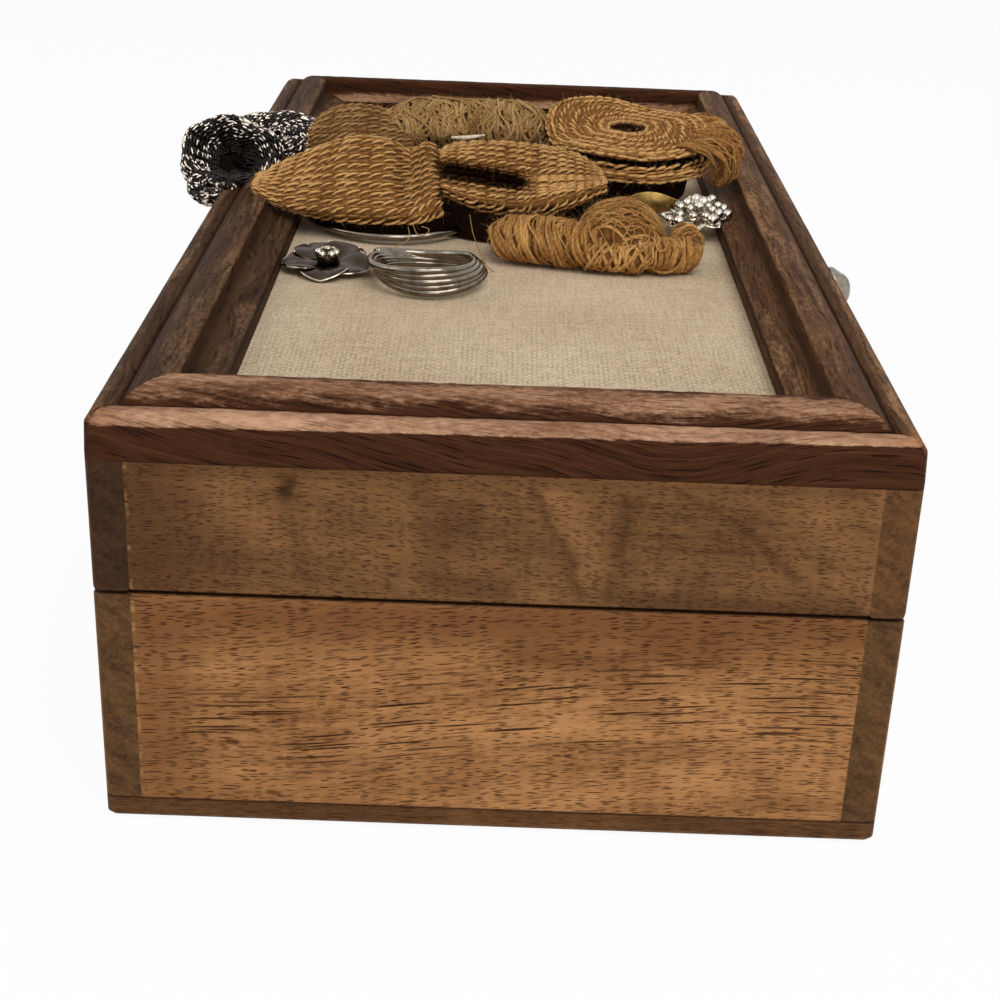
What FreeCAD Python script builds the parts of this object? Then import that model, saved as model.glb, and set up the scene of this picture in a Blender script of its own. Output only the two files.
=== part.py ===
"""Wooden trinket box: a butt-jointed case, a hinged lid with a mitred moulded frame round a linen
panel, and a bunch of folded burlap, knitted wire mesh, wire coils and metal flowers glued on it.

Millimetres, +Z up. The origin is the middle of the underside of the bottom board.
X runs from the hinge side (-X) to the knob side (+X), and Y runs along the box.
"""
import FreeCAD, Part
import math
import os

Vec = FreeCAD.Vector
UP = Vec(0, 0, 1)
FULL_TURN = 360.0

# Case and lid
BOX_WIDTH = 127.0
BOX_LENGTH = 254.0
WALL = 6.0
BOTTOM_THICK = 4.0
CASE_WALL_HEIGHT = 37.6
SEAM = 0.5
LID_WALL_HEIGHT = 21.9
CORNER_ROUND = 1.6
BOTTOM_EDGE_WEAR = 0.9
ARRIS = 0.5

# Frame moulding, measured in from the outer face and up from the underside of the rail
RAIL_WIDTH = 18.4
RAIL_FACE = 6.2
FRAME_CORNER_ROUND = 3.0
BEAD_WIDTH = 4.8
BEAD_TOP_AT = 2.2
BEAD_TOP_RISE = 1.6
GROOVE_RISE = 1.1
OVOLO_AT = 7.8
OVOLO_RISE = 3.5
CROWN_WIDTH = 12.8
CROWN_RISE = 3.8
COVE_AT = 13.5
COVE_RISE = 1.2
LIP_AT = 15.3
LIP_FALL = 0.9
REBATE_WIDTH = 6.0
REBATE_DEPTH = 2.0

# Linen panel and its backing
LINEN_THICK = 0.6
PANEL_CLEAR = 0.4
BACKING_THICK = 2.5
BACKING_CLEAR = 0.3

# Wire brads of rectangular section with a T head
BRAD_WIDTH = 1.25
BRAD_THICK = 1.05
BRAD_HEAD_WIDTH = 2.0
BRAD_HEAD_DEPTH = 0.9
BRAD_SINK = 0.2
BRAD_CLEAR = 0.05
BOTTOM_BRAD_LENGTH = 14.0
BOTTOM_BRAD_COUNT = 4
BOTTOM_BRAD_MARGIN = 22.0
BACKING_BRAD_LENGTH = 7.0
BACKING_BRAD_COUNT = 3
BACKING_BRAD_MARGIN = 40.0
BACKING_BRAD_INSET = 3.0

# Butt hinges
HINGE_INSET = 50.0
HINGE_LENGTH = 25.0
KNUCKLES = 3
KNUCKLE_GAP = 0.15
BARREL_RADIUS = 1.6
BARREL_STANDOFF = 0.25
BARREL_CLEAR = 0.15
HINGE_PIN_RADIUS = 0.8
HINGE_PIN_CLEAR = 0.05
LEAF_DEPTH = 5.2
LEAF_THICK = 0.9
LEAF_GAP = 0.1
LEAF_CLEAR = 0.1
HINGE_SCREW_SPREAD = 8.0
SCREW_SIDES = 8
SCREW_HEAD_RADIUS = 1.7
SCREW_RADIUS = 0.8
SCREW_LENGTH = 7.0
SCREW_CLEAR = 0.05

# Lid knob, measured out from the front wall
KNOB_HEIGHT = 13.3
KNOB_ROSE_RADIUS = 3.4
KNOB_ROSE_THICK = 0.8
KNOB_NECK_RADIUS = 1.9
KNOB_NECK_LENGTH = 2.7
KNOB_FLARE_LENGTH = 2.9
KNOB_RIM_RADIUS = 4.9
KNOB_RIM_WIDTH = 1.1
KNOB_BEVEL_LENGTH = 2.2
KNOB_CAP_RADIUS = 3.5
KNOB_CAP_RISE = 1.4
KNOB_TIP_RADIUS = 1.7
KNOB_BORE_DEPTH = 6.0
BOLT_RADIUS = 1.2
BOLT_CLEAR = 0.08
BOLT_HOLE_CLEAR = 0.25
BOLT_GRIP = 4.5
BOLT_HEAD_RADIUS = 2.6
BOLT_HEAD_THICK = 1.6
WASHER_RADIUS = 3.4
WASHER_THICK = 0.6

# Wire coils lying on the linen, placed in from the hinge side's rail and along the box
WIRE = 1.5
WIRE_SIDES = 5
WIRE_PITCH = 2.05
COIL_RADIUS = 10.1
COIL_TURNS = 4.0
COIL_PLACE = (30.1, -39.0)
HOOP_RADIUS = 18.7
HOOP_TURNS = 1.25
HOOP_PLACE = (20.1, 3.5)
FIRST_TURN_ANGLE = -120.0
QUARTERS_PER_TURN = 4
GAP_SAMPLES = 48

# Metal flowers lying on the linen: the charm is placed from the hinge side's rail,
# and the bead flower and the gilt leaf from the knob side's
CHARM_PLACE = (9.1, -33.0)
CHARM_RADIUS = 9.3
CHARM_THICK = 1.0
CHARM_PETAL_COUNT = 5
CHARM_PETAL_WIDTH = 7.6
CHARM_PETAL_WAIST = 4.4
CHARM_PETAL_SHOULDER = 7.4
CHARM_PETAL_TIP = 3.2
CHARM_DISC_RADIUS = 3.4
CHARM_TILT = 10.0
CHARM_CUP = 8.0
CHARM_BEAD_RADIUS = 1.1
CHARM_BEAD_PITCH = 1.9
CHARM_BEAD_RING_COUNT = 1
CHARM_BEAD_SINK = 0.3
BEAD_FLOWER_PLACE = (6.6, 0.5)
BEAD_FLOWER_LIFT = 3.0
BEAD_FLOWER_TILT = 10.0
BEAD_FLOWER_DISC = 7.4
BEAD_FLOWER_DISC_THICK = 1.4
BEAD_RADIUS = 1.6
BEAD_PITCH = 3.2
BEAD_RING_COUNT = 2
RING_STEP_COUNT = 6
BEAD_FACETS = 6
DISC_SIDES = 12
BEAD_TABLE = 0.5
GILT_LEAF_PLACE = (14.1, 11.8)
GILT_LEAF_SPAN = 13.0
GILT_LEAF_RISE = 6.2
GILT_LEAF_WIDTH = 5.0
GILT_LEAF_THICK = 0.8

# Folded cloth pieces. A place is (in from a long rail's inner edge, along the box, above the linen):
# the roll, pouch and jute start from the hinge side's rail and end from the knob side's.
# The leaf, slot, back fold and mesh are placed from the hinge side's, and the rest from the knob side's.
CLOTH_GAP = 0.3
FOLD_SECTIONS = 9
FOLD_SIDES = 14
ROLL_START, ROLL_END = (41.1, -21.0, 4.6), (3.1, -24.0, 4.6)
ROLL_HALF_WIDTH, ROLL_RISE, ROLL_FALL = 9.5, 5.2, 4.3
ROLL_NOSE, ROLL_TAIL, ROLL_TILT = 0.55, 0.6, 0.0
HUMP_START, HUMP_END = (31.1, -11.5, 6.0), (9.1, -11.5, 6.0)
HUMP_HALF_WIDTH, HUMP_RISE, HUMP_FALL = 7.5, 6.2, 5.6
HUMP_NOSE, HUMP_TAIL, HUMP_TILT = 0.5, 0.5, 0.0
LEAF_START, LEAF_END = (-11.9, 0.0, 11.6), (30.6, -2.0, 9.6)
LEAF_HALF_WIDTH, LEAF_RISE, LEAF_FALL = 17.0, 5.6, 4.2
LEAF_NOSE, LEAF_TAIL, LEAF_TILT = 0.3, 0.75, 20.0
POUCH_START, POUCH_END = (28.6, 1.0, 12.0), (24.6, 2.0, 12.0)
POUCH_HALF_WIDTH, POUCH_RISE, POUCH_FALL = 13.5, 5.2, 4.4
POUCH_NOSE, POUCH_TAIL, POUCH_TILT = 0.6, 0.35, 24.0
SLOT_START, SLOT_END = (30.1, -3.5, 15.0), (52.1, -4.5, 15.0)
SLOT_HALF_WIDTH, SLOT_RISE, SLOT_FALL = 3.4, 1.6, 1.6
SLOT_NOSE, SLOT_TAIL, SLOT_TILT = 0.5, 0.5, 24.0
ROSETTE_START, ROSETTE_END = (37.1, 21.0, 14.2), (-8.9, 24.0, 14.2)
ROSETTE_HALF_WIDTH, ROSETTE_RISE, ROSETTE_FALL = 19.0, 5.4, 5.0
ROSETTE_NOSE, ROSETTE_TAIL, ROSETTE_TILT = 0.55, 0.5, 15.0
EYE_START, EYE_END = (20.6, 26.0, 20.6), (11.6, 26.0, 20.6)
EYE_HALF_WIDTH, EYE_RISE, EYE_FALL = 3.2, 1.4, 3.0
EYE_NOSE, EYE_TAIL, EYE_TILT = 0.5, 0.5, 15.0
JUTE_START, JUTE_END = (15.1, 28.0, 15.6), (36.1, 30.0, 16.2)
JUTE_HALF_WIDTH, JUTE_RISE, JUTE_FALL = 9.5, 5.0, 5.0
JUTE_NOSE, JUTE_TAIL, JUTE_TILT = 0.6, 0.6, 18.0
BACK_START, BACK_END = (-0.9, 25.0, 13.2), (23.1, 27.0, 14.0)
BACK_HALF_WIDTH, BACK_RISE, BACK_FALL = 12.0, 4.6, 4.6
BACK_NOSE, BACK_TAIL, BACK_TILT = 0.45, 0.6, 15.0
MESH_START, MESH_END = (-25.9, 12.0, 10.6), (2.1, 20.0, 12.6)
MESH_HALF_WIDTH, MESH_RISE, MESH_FALL = 17.0, 7.6, 6.4
MESH_NOSE, MESH_TAIL, MESH_TILT = 0.55, 0.5, 14.0

# Levels and faces that follow from the sizes above
HALF_WIDTH = BOX_WIDTH / 2
HALF_LENGTH = BOX_LENGTH / 2
CASE_Z = BOTTOM_THICK
CASE_TOP = CASE_Z + CASE_WALL_HEIGHT
SEAM_MIDDLE = CASE_TOP + SEAM / 2
LID_Z = CASE_TOP + SEAM
RAIL_Z = LID_Z + LID_WALL_HEIGHT
LINEN_TOP = RAIL_Z + REBATE_DEPTH
LIP_X = HALF_WIDTH - RAIL_WIDTH
CARD_THICK = REBATE_DEPTH - LINEN_THICK
HINGE_X = -HALF_WIDTH - BARREL_STANDOFF - BARREL_RADIUS
HINGE_CENTRES = (-(HALF_LENGTH - HINGE_INSET), HALF_LENGTH - HINGE_INSET)
KNOB_Z = LID_Z + KNOB_HEIGHT


def block(x_range, y_range, z_range):
    """Box between two corners, given as its ranges along X, Y and Z."""
    size = [high - low for low, high in (x_range, y_range, z_range)]
    return Part.makeBox(*size, Vec(x_range[0], y_range[0], z_range[0]))


def prism(points, travel):
    """Polygon carried along a straight travel."""
    return flat_face(points).extrude(travel)


def upright_edges(shape):
    """Edges that run along Z."""
    tolerance = Part.Precision.confusion()
    return [edge for edge in shape.Edges if abs(edge.BoundBox.ZLength - edge.Length) < tolerance]


def plan_block(z_low, z_high, corner):
    """The box's plan with rounded upright corners, between two heights."""
    body = block((-HALF_WIDTH, HALF_WIDTH), (-HALF_LENGTH, HALF_LENGTH), (z_low, z_high))
    return body.makeFillet(corner, upright_edges(body))


def cylinder(radius, length, start, direction):
    """Round bar from a start point."""
    return Part.makeCylinder(radius, length, start, direction)


def ring_points(middle, first, second, sides):
    """Points of a polygon ring with half axes first and second."""
    turns = [2 * math.pi * i / sides for i in range(sides)]
    return [middle + first * math.cos(a) + second * math.sin(a) for a in turns]


def flat_ring(middle, radius, sides):
    """Points of a level regular polygon."""
    return ring_points(middle, Vec(radius, 0, 0), Vec(0, radius, 0), sides)


def flat_face(points):
    """Flat face of a closed polygon."""
    return Part.Face(Part.makePolygon(points + points[:1]))


def faceted_solid(rings):
    """Solid of flat facets between rings of equally many points, closed by the first and last ring."""
    faces = [flat_face(rings[0]), flat_face(rings[-1])]
    for low, high in zip(rings, rings[1:]):
        for i in range(len(low)):
            j = (i + 1) % len(low)
            faces.append(flat_face([low[i], low[j], high[j], high[i]]))
    solid = Part.Solid(Part.Shell(faces))
    if solid.Volume < 0:
        solid.reverse()
    return solid


# Case and lid walls


def bottom_board():
    """Planted bottom with its lower edge worn off, and the brads' holes."""
    board = plan_block(0, BOTTOM_THICK, CORNER_ROUND)
    lower = [edge for edge in board.Edges if edge.BoundBox.ZMax < BOTTOM_THICK / 2]
    worn = board.makeChamfer(BOTTOM_EDGE_WEAR, lower)
    return worn.cut(brad_holes(bottom_brad_places(), 0, BOTTOM_BRAD_LENGTH))


def wall_section(height, seam_on_top):
    """Wall section as (depth from the outer face, height) with eased arrises at the seam."""
    eased = height - ARRIS
    points = [(0, 0), (WALL, 0), (WALL, eased), (WALL - ARRIS, height), (ARRIS, height), (0, eased)]
    return points if seam_on_top else [(depth, height - z) for depth, z in points]


def long_wall(side, z_low, height, seam_on_top):
    """Front (+1) or back (-1) wall, running the whole length with its end grain showing."""
    section = wall_section(height, seam_on_top)
    points = [Vec(side * (HALF_WIDTH - depth), -HALF_LENGTH, z_low + z) for depth, z in section]
    return prism(points, Vec(0, BOX_LENGTH, 0)).common(plan_block(z_low, z_low + height, CORNER_ROUND))


def end_wall(end, z_low, height, seam_on_top):
    """Near (-1) or far (+1) wall, set between the long walls."""
    inner = HALF_WIDTH - WALL
    section = wall_section(height, seam_on_top)
    points = [Vec(-inner, end * (HALF_LENGTH - depth), z_low + z) for depth, z in section]
    return prism(points, Vec(2 * inner, 0, 0))


def case_walls():
    """The four case walls, with the brads' holes and the hinge mortises cut."""
    holes = brad_holes(bottom_brad_places(), 0, BOTTOM_BRAD_LENGTH)
    cuts = holes.fuse(hinge_mortises(-1)).fuse(hinge_screws(-1, SCREW_CLEAR))
    return {
        "case_front_wall": long_wall(1, CASE_Z, CASE_WALL_HEIGHT, True).cut(cuts),
        "case_back_wall": long_wall(-1, CASE_Z, CASE_WALL_HEIGHT, True).cut(cuts),
        "case_near_end": end_wall(-1, CASE_Z, CASE_WALL_HEIGHT, True).cut(cuts),
        "case_far_end": end_wall(1, CASE_Z, CASE_WALL_HEIGHT, True).cut(cuts),
    }


def lid_walls():
    """The four lid walls, with the hinge mortises and the knob bolt's hole cut."""
    hole = cylinder(BOLT_RADIUS + BOLT_HOLE_CLEAR, WALL, Vec(HALF_WIDTH - WALL, 0, KNOB_Z), Vec(1, 0, 0))
    cuts = hole.fuse(hinge_mortises(1)).fuse(hinge_screws(1, SCREW_CLEAR))
    return {
        "lid_front_wall": long_wall(1, LID_Z, LID_WALL_HEIGHT, False).cut(cuts),
        "lid_back_wall": long_wall(-1, LID_Z, LID_WALL_HEIGHT, False).cut(cuts),
        "lid_near_end": end_wall(-1, LID_Z, LID_WALL_HEIGHT, False).cut(cuts),
        "lid_far_end": end_wall(1, LID_Z, LID_WALL_HEIGHT, False).cut(cuts),
    }


# Brads


def even_spread(margin, half_span, count):
    """Evenly spaced places between two margins."""
    reach = half_span - margin
    return [-reach + 2 * reach * i / (count - 1) for i in range(count)]


def bottom_brad_places():
    """Brads up through the bottom board into the middle of each wall."""
    inset = HALF_WIDTH - WALL / 2
    along = even_spread(BOTTOM_BRAD_MARGIN, HALF_LENGTH, BOTTOM_BRAD_COUNT)
    rows = [(side * inset, y) for side in (-1, 1) for y in along]
    return rows + [(0, end * (HALF_LENGTH - WALL / 2)) for end in (-1, 1)]


def backing_brad_places():
    """Brads up through the backing panel into the underside of the frame rails."""
    depth = WALL + BACKING_BRAD_INSET
    along = even_spread(BACKING_BRAD_MARGIN, HALF_LENGTH, BACKING_BRAD_COUNT)
    rows = [(side * (HALF_WIDTH - depth), y) for side in (-1, 1) for y in along]
    return rows + [(0, end * (HALF_LENGTH - depth)) for end in (-1, 1)]


def upright_bar(place, width, z_low, z_high, grow):
    """Bar of a brad's thickness standing on a place."""
    half_x = width / 2 + grow
    half_y = BRAD_THICK / 2 + grow
    x, y = place
    return block((x - half_x, x + half_x), (y - half_y, y + half_y), (z_low, z_high))


def brads(places, z_face, length):
    """A group of separate brads driven up from a face, their heads sunk just below it."""
    foot = z_face + BRAD_SINK
    bodies = []
    for place in places:
        head = upright_bar(place, BRAD_HEAD_WIDTH, foot, foot + BRAD_HEAD_DEPTH, 0)
        bodies.append(head.fuse(upright_bar(place, BRAD_WIDTH, foot, foot + length, 0)).removeSplitter())
    return Part.makeCompound(bodies)


def brad_holes(places, z_face, length):
    """The room that a group of brads takes, open down to the face."""
    neck = z_face + BRAD_SINK + BRAD_HEAD_DEPTH + BRAD_CLEAR
    tip = z_face + BRAD_SINK + length + BRAD_CLEAR
    holes = []
    for place in places:
        holes.append(upright_bar(place, BRAD_HEAD_WIDTH, z_face, neck, BRAD_CLEAR))
        holes.append(upright_bar(place, BRAD_WIDTH, z_face, tip, BRAD_CLEAR))
    return holes[0].multiFuse(holes[1:])


# Moulded frame and its linen panel


def moulding_profile(place):
    """Closed outline of the moulding; place turns (inward, height above the rail's foot) into a point."""
    crown = RAIL_FACE + CROWN_RISE
    lip_inner = RAIL_FACE - LIP_FALL
    lip_outer = RAIL_FACE

    def line(start, end):
        return Part.makeLine(place(*start), place(*end))

    def arc(start, through, end):
        return Part.Arc(place(*start), place(*through), place(*end)).toShape()

    face_top = (0, RAIL_FACE)
    groove = (BEAD_WIDTH, RAIL_FACE + GROOVE_RISE)
    crown_edge = (CROWN_WIDTH, crown)
    lip_start = (LIP_AT, lip_outer)
    lip_end = (RAIL_WIDTH, lip_inner)
    rebate_edge = (RAIL_WIDTH, REBATE_DEPTH)
    rebate_corner = (RAIL_WIDTH - REBATE_WIDTH, REBATE_DEPTH)
    foot = (RAIL_WIDTH - REBATE_WIDTH, 0)
    return Part.Wire([
        line((0, 0), face_top),
        arc(face_top, (BEAD_TOP_AT, RAIL_FACE + BEAD_TOP_RISE), groove),
        arc(groove, (OVOLO_AT, RAIL_FACE + OVOLO_RISE), crown_edge),
        arc(crown_edge, (COVE_AT, RAIL_FACE + COVE_RISE), lip_start),
        line(lip_start, lip_end),
        line(lip_end, rebate_edge),
        line(rebate_edge, rebate_corner),
        line(rebate_corner, foot),
        line(foot, (0, 0)),
    ])


def mitred_rail(profile, travel, outer_half, outer_axis):
    """Moulding carried along a side, mitred at both ends and rounded at the outer corners."""
    reach = outer_half - RAIL_WIDTH
    along = travel * (1 / travel.Length)
    half = travel.Length / 2
    corners = [
        outer_axis * outer_half - along * half,
        outer_axis * outer_half + along * half,
        outer_axis * reach + along * (half - RAIL_WIDTH),
        outer_axis * reach - along * (half - RAIL_WIDTH),
    ]
    height = RAIL_FACE + CROWN_RISE + RAIL_WIDTH
    plan = prism([corner + UP * RAIL_Z for corner in corners], UP * height)
    rail = Part.Face(profile).extrude(travel).common(plan)
    return rail.common(plan_block(RAIL_Z, RAIL_Z + height, FRAME_CORNER_ROUND))


def frame_rails():
    """The four mitred rails, with the backing brads' holes."""
    holes = brad_holes(backing_brad_places(), backing_z(), BACKING_BRAD_LENGTH)
    rails = {}
    for name, side in (("frame_front_rail", 1), ("frame_back_rail", -1)):
        def at_side(inward, z, side=side):
            return Vec(side * (HALF_WIDTH - inward), -HALF_LENGTH, RAIL_Z + z)
        profile = moulding_profile(at_side)
        rails[name] = mitred_rail(profile, Vec(0, BOX_LENGTH, 0), HALF_WIDTH, Vec(side, 0, 0))
    for name, end in (("frame_near_rail", -1), ("frame_far_rail", 1)):
        def at_end(inward, z, end=end):
            return Vec(-HALF_WIDTH, end * (HALF_LENGTH - inward), RAIL_Z + z)
        profile = moulding_profile(at_end)
        rails[name] = mitred_rail(profile, Vec(BOX_WIDTH, 0, 0), HALF_LENGTH, Vec(0, end, 0))
    return {name: rail.cut(holes) for name, rail in rails.items()}


def centred_block(half_width, half_length, z_low, z_high):
    """Box centred on the Z axis."""
    return block((-half_width, half_width), (-half_length, half_length), (z_low, z_high))


def panel_halves(less):
    """Half width and half length of the rebate's opening, made smaller by a clearance."""
    inset = RAIL_WIDTH - REBATE_WIDTH + less
    return HALF_WIDTH - inset, HALF_LENGTH - inset


def panel_card():
    """Stiff card that the linen is stretched over."""
    return centred_block(*panel_halves(PANEL_CLEAR + LINEN_THICK), RAIL_Z, RAIL_Z + CARD_THICK)


def linen_cover():
    """Linen over the card, turned down over its four edges."""
    return centred_block(*panel_halves(PANEL_CLEAR), RAIL_Z, LINEN_TOP).cut(panel_card())


def backing_z():
    """Underside of the backing panel."""
    return RAIL_Z - BACKING_THICK


def lid_backing():
    """Thin panel bradded up under the rails, which closes the frame from inside the lid."""
    inset = WALL + BACKING_CLEAR
    panel = centred_block(HALF_WIDTH - inset, HALF_LENGTH - inset, backing_z(), RAIL_Z)
    return panel.cut(brad_holes(backing_brad_places(), backing_z(), BACKING_BRAD_LENGTH))


# Butt hinges. A leaf's side is -1 on the case and +1 on the lid.


def knuckle_spans(centre):
    """Start and end along Y of each knuckle of a hinge."""
    step = HINGE_LENGTH / KNUCKLES
    start = centre - HINGE_LENGTH / 2
    half_gap = KNUCKLE_GAP / 2
    return [(start + i * step + half_gap, start + (i + 1) * step - half_gap) for i in range(KNUCKLES)]


def leaf_levels(side):
    """Lower and upper face of a leaf let into the seam."""
    near = SEAM_MIDDLE + side * LEAF_GAP / 2
    far = near + side * LEAF_THICK
    return min(near, far), max(near, far)


def hinge_bar(radius, span):
    """Round bar on the hinge axis over a span of Y."""
    return cylinder(radius, span[1] - span[0], Vec(HINGE_X, span[0], SEAM_MIDDLE), Vec(0, 1, 0))


def hinge_leaf(side, centre):
    """Leaf with its own knuckles, notched for the other leaf's, bored for the pin and its screws."""
    spans = knuckle_spans(centre)
    own = spans[0::2] if side < 0 else spans[1::2]
    others = spans[1::2] if side < 0 else spans[0::2]
    ends = (spans[0][0], spans[-1][1])
    plate = block((HINGE_X, -HALF_WIDTH + LEAF_DEPTH), ends, leaf_levels(side))
    reach = HINGE_X + BARREL_RADIUS + BARREL_CLEAR
    widened = [(low - KNUCKLE_GAP, high + KNUCKLE_GAP) for low, high in others]
    notches = [block((HINGE_X, reach), span, leaf_levels(side)) for span in widened]
    leaf = plate.cut(notches).multiFuse([hinge_bar(BARREL_RADIUS, span) for span in own])
    bore = hinge_bar(HINGE_PIN_RADIUS + HINGE_PIN_CLEAR, ends)
    return leaf.cut(bore).cut(hinge_screws(side, SCREW_CLEAR)).removeSplitter()


def hinge_pin(centre):
    """Plain pin, flush with both ends of the barrel."""
    spans = knuckle_spans(centre)
    return hinge_bar(HINGE_PIN_RADIUS, (spans[0][0], spans[-1][1]))


def hinge_mortises(side):
    """Shallow beds for both hinges' leaves in a wall's seam edge."""
    low, high = leaf_levels(side)
    half = HINGE_LENGTH / 2 + LEAF_CLEAR
    beds = []
    for centre in HINGE_CENTRES:
        depth = (-HALF_WIDTH, -HALF_WIDTH + LEAF_DEPTH + LEAF_CLEAR)
        beds.append(block(depth, (centre - half, centre + half), (low, high)))
    return beds[0].fuse(beds[1])


def hinge_screws(side, grow):
    """Countersunk screws of both leaves on one side, driven away from the seam."""
    low, high = leaf_levels(side)
    face = low if side > 0 else high
    levels = ((0, SCREW_HEAD_RADIUS), (LEAF_THICK, SCREW_RADIUS), (SCREW_LENGTH + grow, SCREW_RADIUS))
    screws = []
    for centre in HINGE_CENTRES:
        for offset in (-HINGE_SCREW_SPREAD, HINGE_SCREW_SPREAD):
            top = Vec(-HALF_WIDTH + LEAF_DEPTH / 2, centre + offset, face)
            rings = []
            for depth, radius in levels:
                rings.append(flat_ring(top + UP * side * depth, radius + grow, SCREW_SIDES))
            screws.append(faceted_solid(rings))
    return Part.makeCompound(screws)


# Lid knob


def knob_point(out, radius):
    """Point of the knob's outline, in the plane above its axis."""
    return Vec(HALF_WIDTH + out, 0, KNOB_Z + radius)


def lid_knob():
    """Turned knob: a rose, a neck, a flared head with a rim and a bevelled cap, bored for its bolt."""
    bore = BOLT_RADIUS + BOLT_CLEAR
    neck_end = KNOB_ROSE_THICK + KNOB_NECK_LENGTH
    rim_start = neck_end + KNOB_FLARE_LENGTH
    rim_end = rim_start + KNOB_RIM_WIDTH
    cap_start = rim_end + KNOB_BEVEL_LENGTH
    tip = cap_start + KNOB_CAP_RISE
    corners = [
        (KNOB_BORE_DEPTH, 0), (KNOB_BORE_DEPTH, bore), (0, bore), (0, KNOB_ROSE_RADIUS),
        (KNOB_ROSE_THICK, KNOB_ROSE_RADIUS), (KNOB_ROSE_THICK, KNOB_NECK_RADIUS),
        (neck_end, KNOB_NECK_RADIUS), (rim_start, KNOB_RIM_RADIUS), (rim_end, KNOB_RIM_RADIUS),
        (cap_start, KNOB_CAP_RADIUS), (tip, KNOB_TIP_RADIUS), (tip, 0),
    ]
    outline = flat_face([knob_point(*corner) for corner in corners])
    return outline.revolve(Vec(HALF_WIDTH, 0, KNOB_Z), Vec(1, 0, 0), FULL_TURN)


def knob_washer():
    """Flat washer on the inside of the front wall."""
    start = Vec(HALF_WIDTH - WALL - WASHER_THICK, 0, KNOB_Z)
    ring = cylinder(WASHER_RADIUS, WASHER_THICK, start, Vec(1, 0, 0))
    return ring.cut(cylinder(BOLT_RADIUS + BOLT_HOLE_CLEAR, WASHER_THICK, start, Vec(1, 0, 0)))


def knob_bolt():
    """Bolt from inside the lid, through the washer and the wall into the knob."""
    seat = HALF_WIDTH - WALL - WASHER_THICK
    out = Vec(1, 0, 0)
    head = cylinder(BOLT_HEAD_RADIUS, BOLT_HEAD_THICK, Vec(seat - BOLT_HEAD_THICK, 0, KNOB_Z), out)
    shank = cylinder(BOLT_RADIUS, WASHER_THICK + WALL + BOLT_GRIP, Vec(seat, 0, KNOB_Z), out)
    return head.fuse(shank)


# Wire coils


def from_hinge_side(inward, along, above=0.0):
    """Point over the linen, measured in from the inner edge of the hinge side's rail."""
    return Vec(inward - LIP_X, along, LINEN_TOP + above)


def from_knob_side(inward, along, above=0.0):
    """Point over the linen, measured in from the inner edge of the knob side's rail."""
    return Vec(LIP_X - inward, along, LINEN_TOP + above)


def helix_point(place, radius, turn):
    """Point and unit direction of a climbing turn that starts on the linen."""
    angle = 2 * math.pi * turn + math.radians(FIRST_TURN_ANGLE)
    height = WIRE / 2 + CLOTH_GAP + WIRE_PITCH * turn
    point = place + Vec(radius * math.cos(angle), radius * math.sin(angle), height)
    run = Vec(-radius * math.sin(angle), radius * math.cos(angle), WIRE_PITCH / (2 * math.pi))
    return point, run * (1 / run.Length)


def halfway(start, end):
    """Point in the middle between two others."""
    return start + (end - start) * (1 / 2)


def tangent_arc(start, corner, end):
    """Arc that touches the two equal sides start-corner and corner-end."""
    chord_middle = halfway(start, end)
    half_chord = (end - start).Length / 2
    height = (corner - chord_middle).Length
    base_angle = math.atan2(height, half_chord)
    share = math.tan(base_angle / 2) / math.tan(base_angle)
    return Part.Arc(start, chord_middle + (corner - chord_middle) * share, end).toShape()


def biarc(start, start_run, end, end_run):
    """Two arcs that join two points along their given directions."""
    chord = end - start
    runs = start_run + end_run
    bend = 2 * (1 - start_run.dot(end_run))
    along = chord.dot(runs)
    reach = (math.sqrt(along ** 2 + bend * chord.dot(chord)) - along) / bend
    first = start + start_run * reach
    second = end - end_run * reach
    joint = halfway(first, second)
    return [tangent_arc(start, first, joint), tangent_arc(joint, second, end)]


def least_gap(place, radius, turns):
    """Least clear distance between neighbouring turns, measured on points along the wire."""
    count = int(turns * GAP_SAMPLES)
    points = [helix_point(place, radius, i / GAP_SAMPLES)[0] for i in range(count + 1)]
    far_apart = GAP_SAMPLES // 2
    spans = [(a - b).Length for i, a in enumerate(points) for b in points[i + far_apart:]]
    return min(spans) - WIRE


def wound_wire(name, place, radius, turns):
    """One unbroken wire wound in climbing turns, swept on two arcs for each quarter turn."""
    steps = round(turns * QUARTERS_PER_TURN)
    stations = [helix_point(place, radius, i / QUARTERS_PER_TURN) for i in range(steps + 1)]
    edges = [arc for a, b in zip(stations, stations[1:]) for arc in biarc(*a, *b)]
    start, run = stations[0]
    sideways = run.cross(UP).normalize() * (WIRE / 2)
    rim = ring_points(start, sideways, run.cross(sideways), WIRE_SIDES)
    profile = Part.makePolygon(rim + rim[:1])
    pipe = Part.BRepOffsetAPI.MakePipeShell(Part.Wire(edges))
    pipe.add(profile)
    pipe.build()
    pipe.makeSolid()
    print(name, "least gap between turns", round(least_gap(place, radius, turns), 3), "mm")
    return pipe.shape()


# Metal flowers


def tilted(shape, degrees):
    """Shape turned about X so that its far side rises."""
    turned = shape.copy()
    turned.rotate(Vec(0, 0, 0), Vec(1, 0, 0), degrees)
    return turned


def set_down(shapes, place, foot):
    """Shapes moved together to a place, with the lowest point of the first at a height."""
    move = Vec(place.x, place.y, foot - shapes[0].BoundBox.ZMin)
    return [shape.translated(move) for shape in shapes]


def faceted_bead(middle, radius):
    """Cut bead: a hexagon girdle tapering to a small table above and below."""
    table = radius * BEAD_TABLE
    rise = UP * math.sqrt(radius ** 2 - table ** 2)
    levels = ((middle - rise, table), (middle, radius), (middle + rise, table))
    return faceted_solid([flat_ring(centre, size, BEAD_FACETS) for centre, size in levels])


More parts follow.
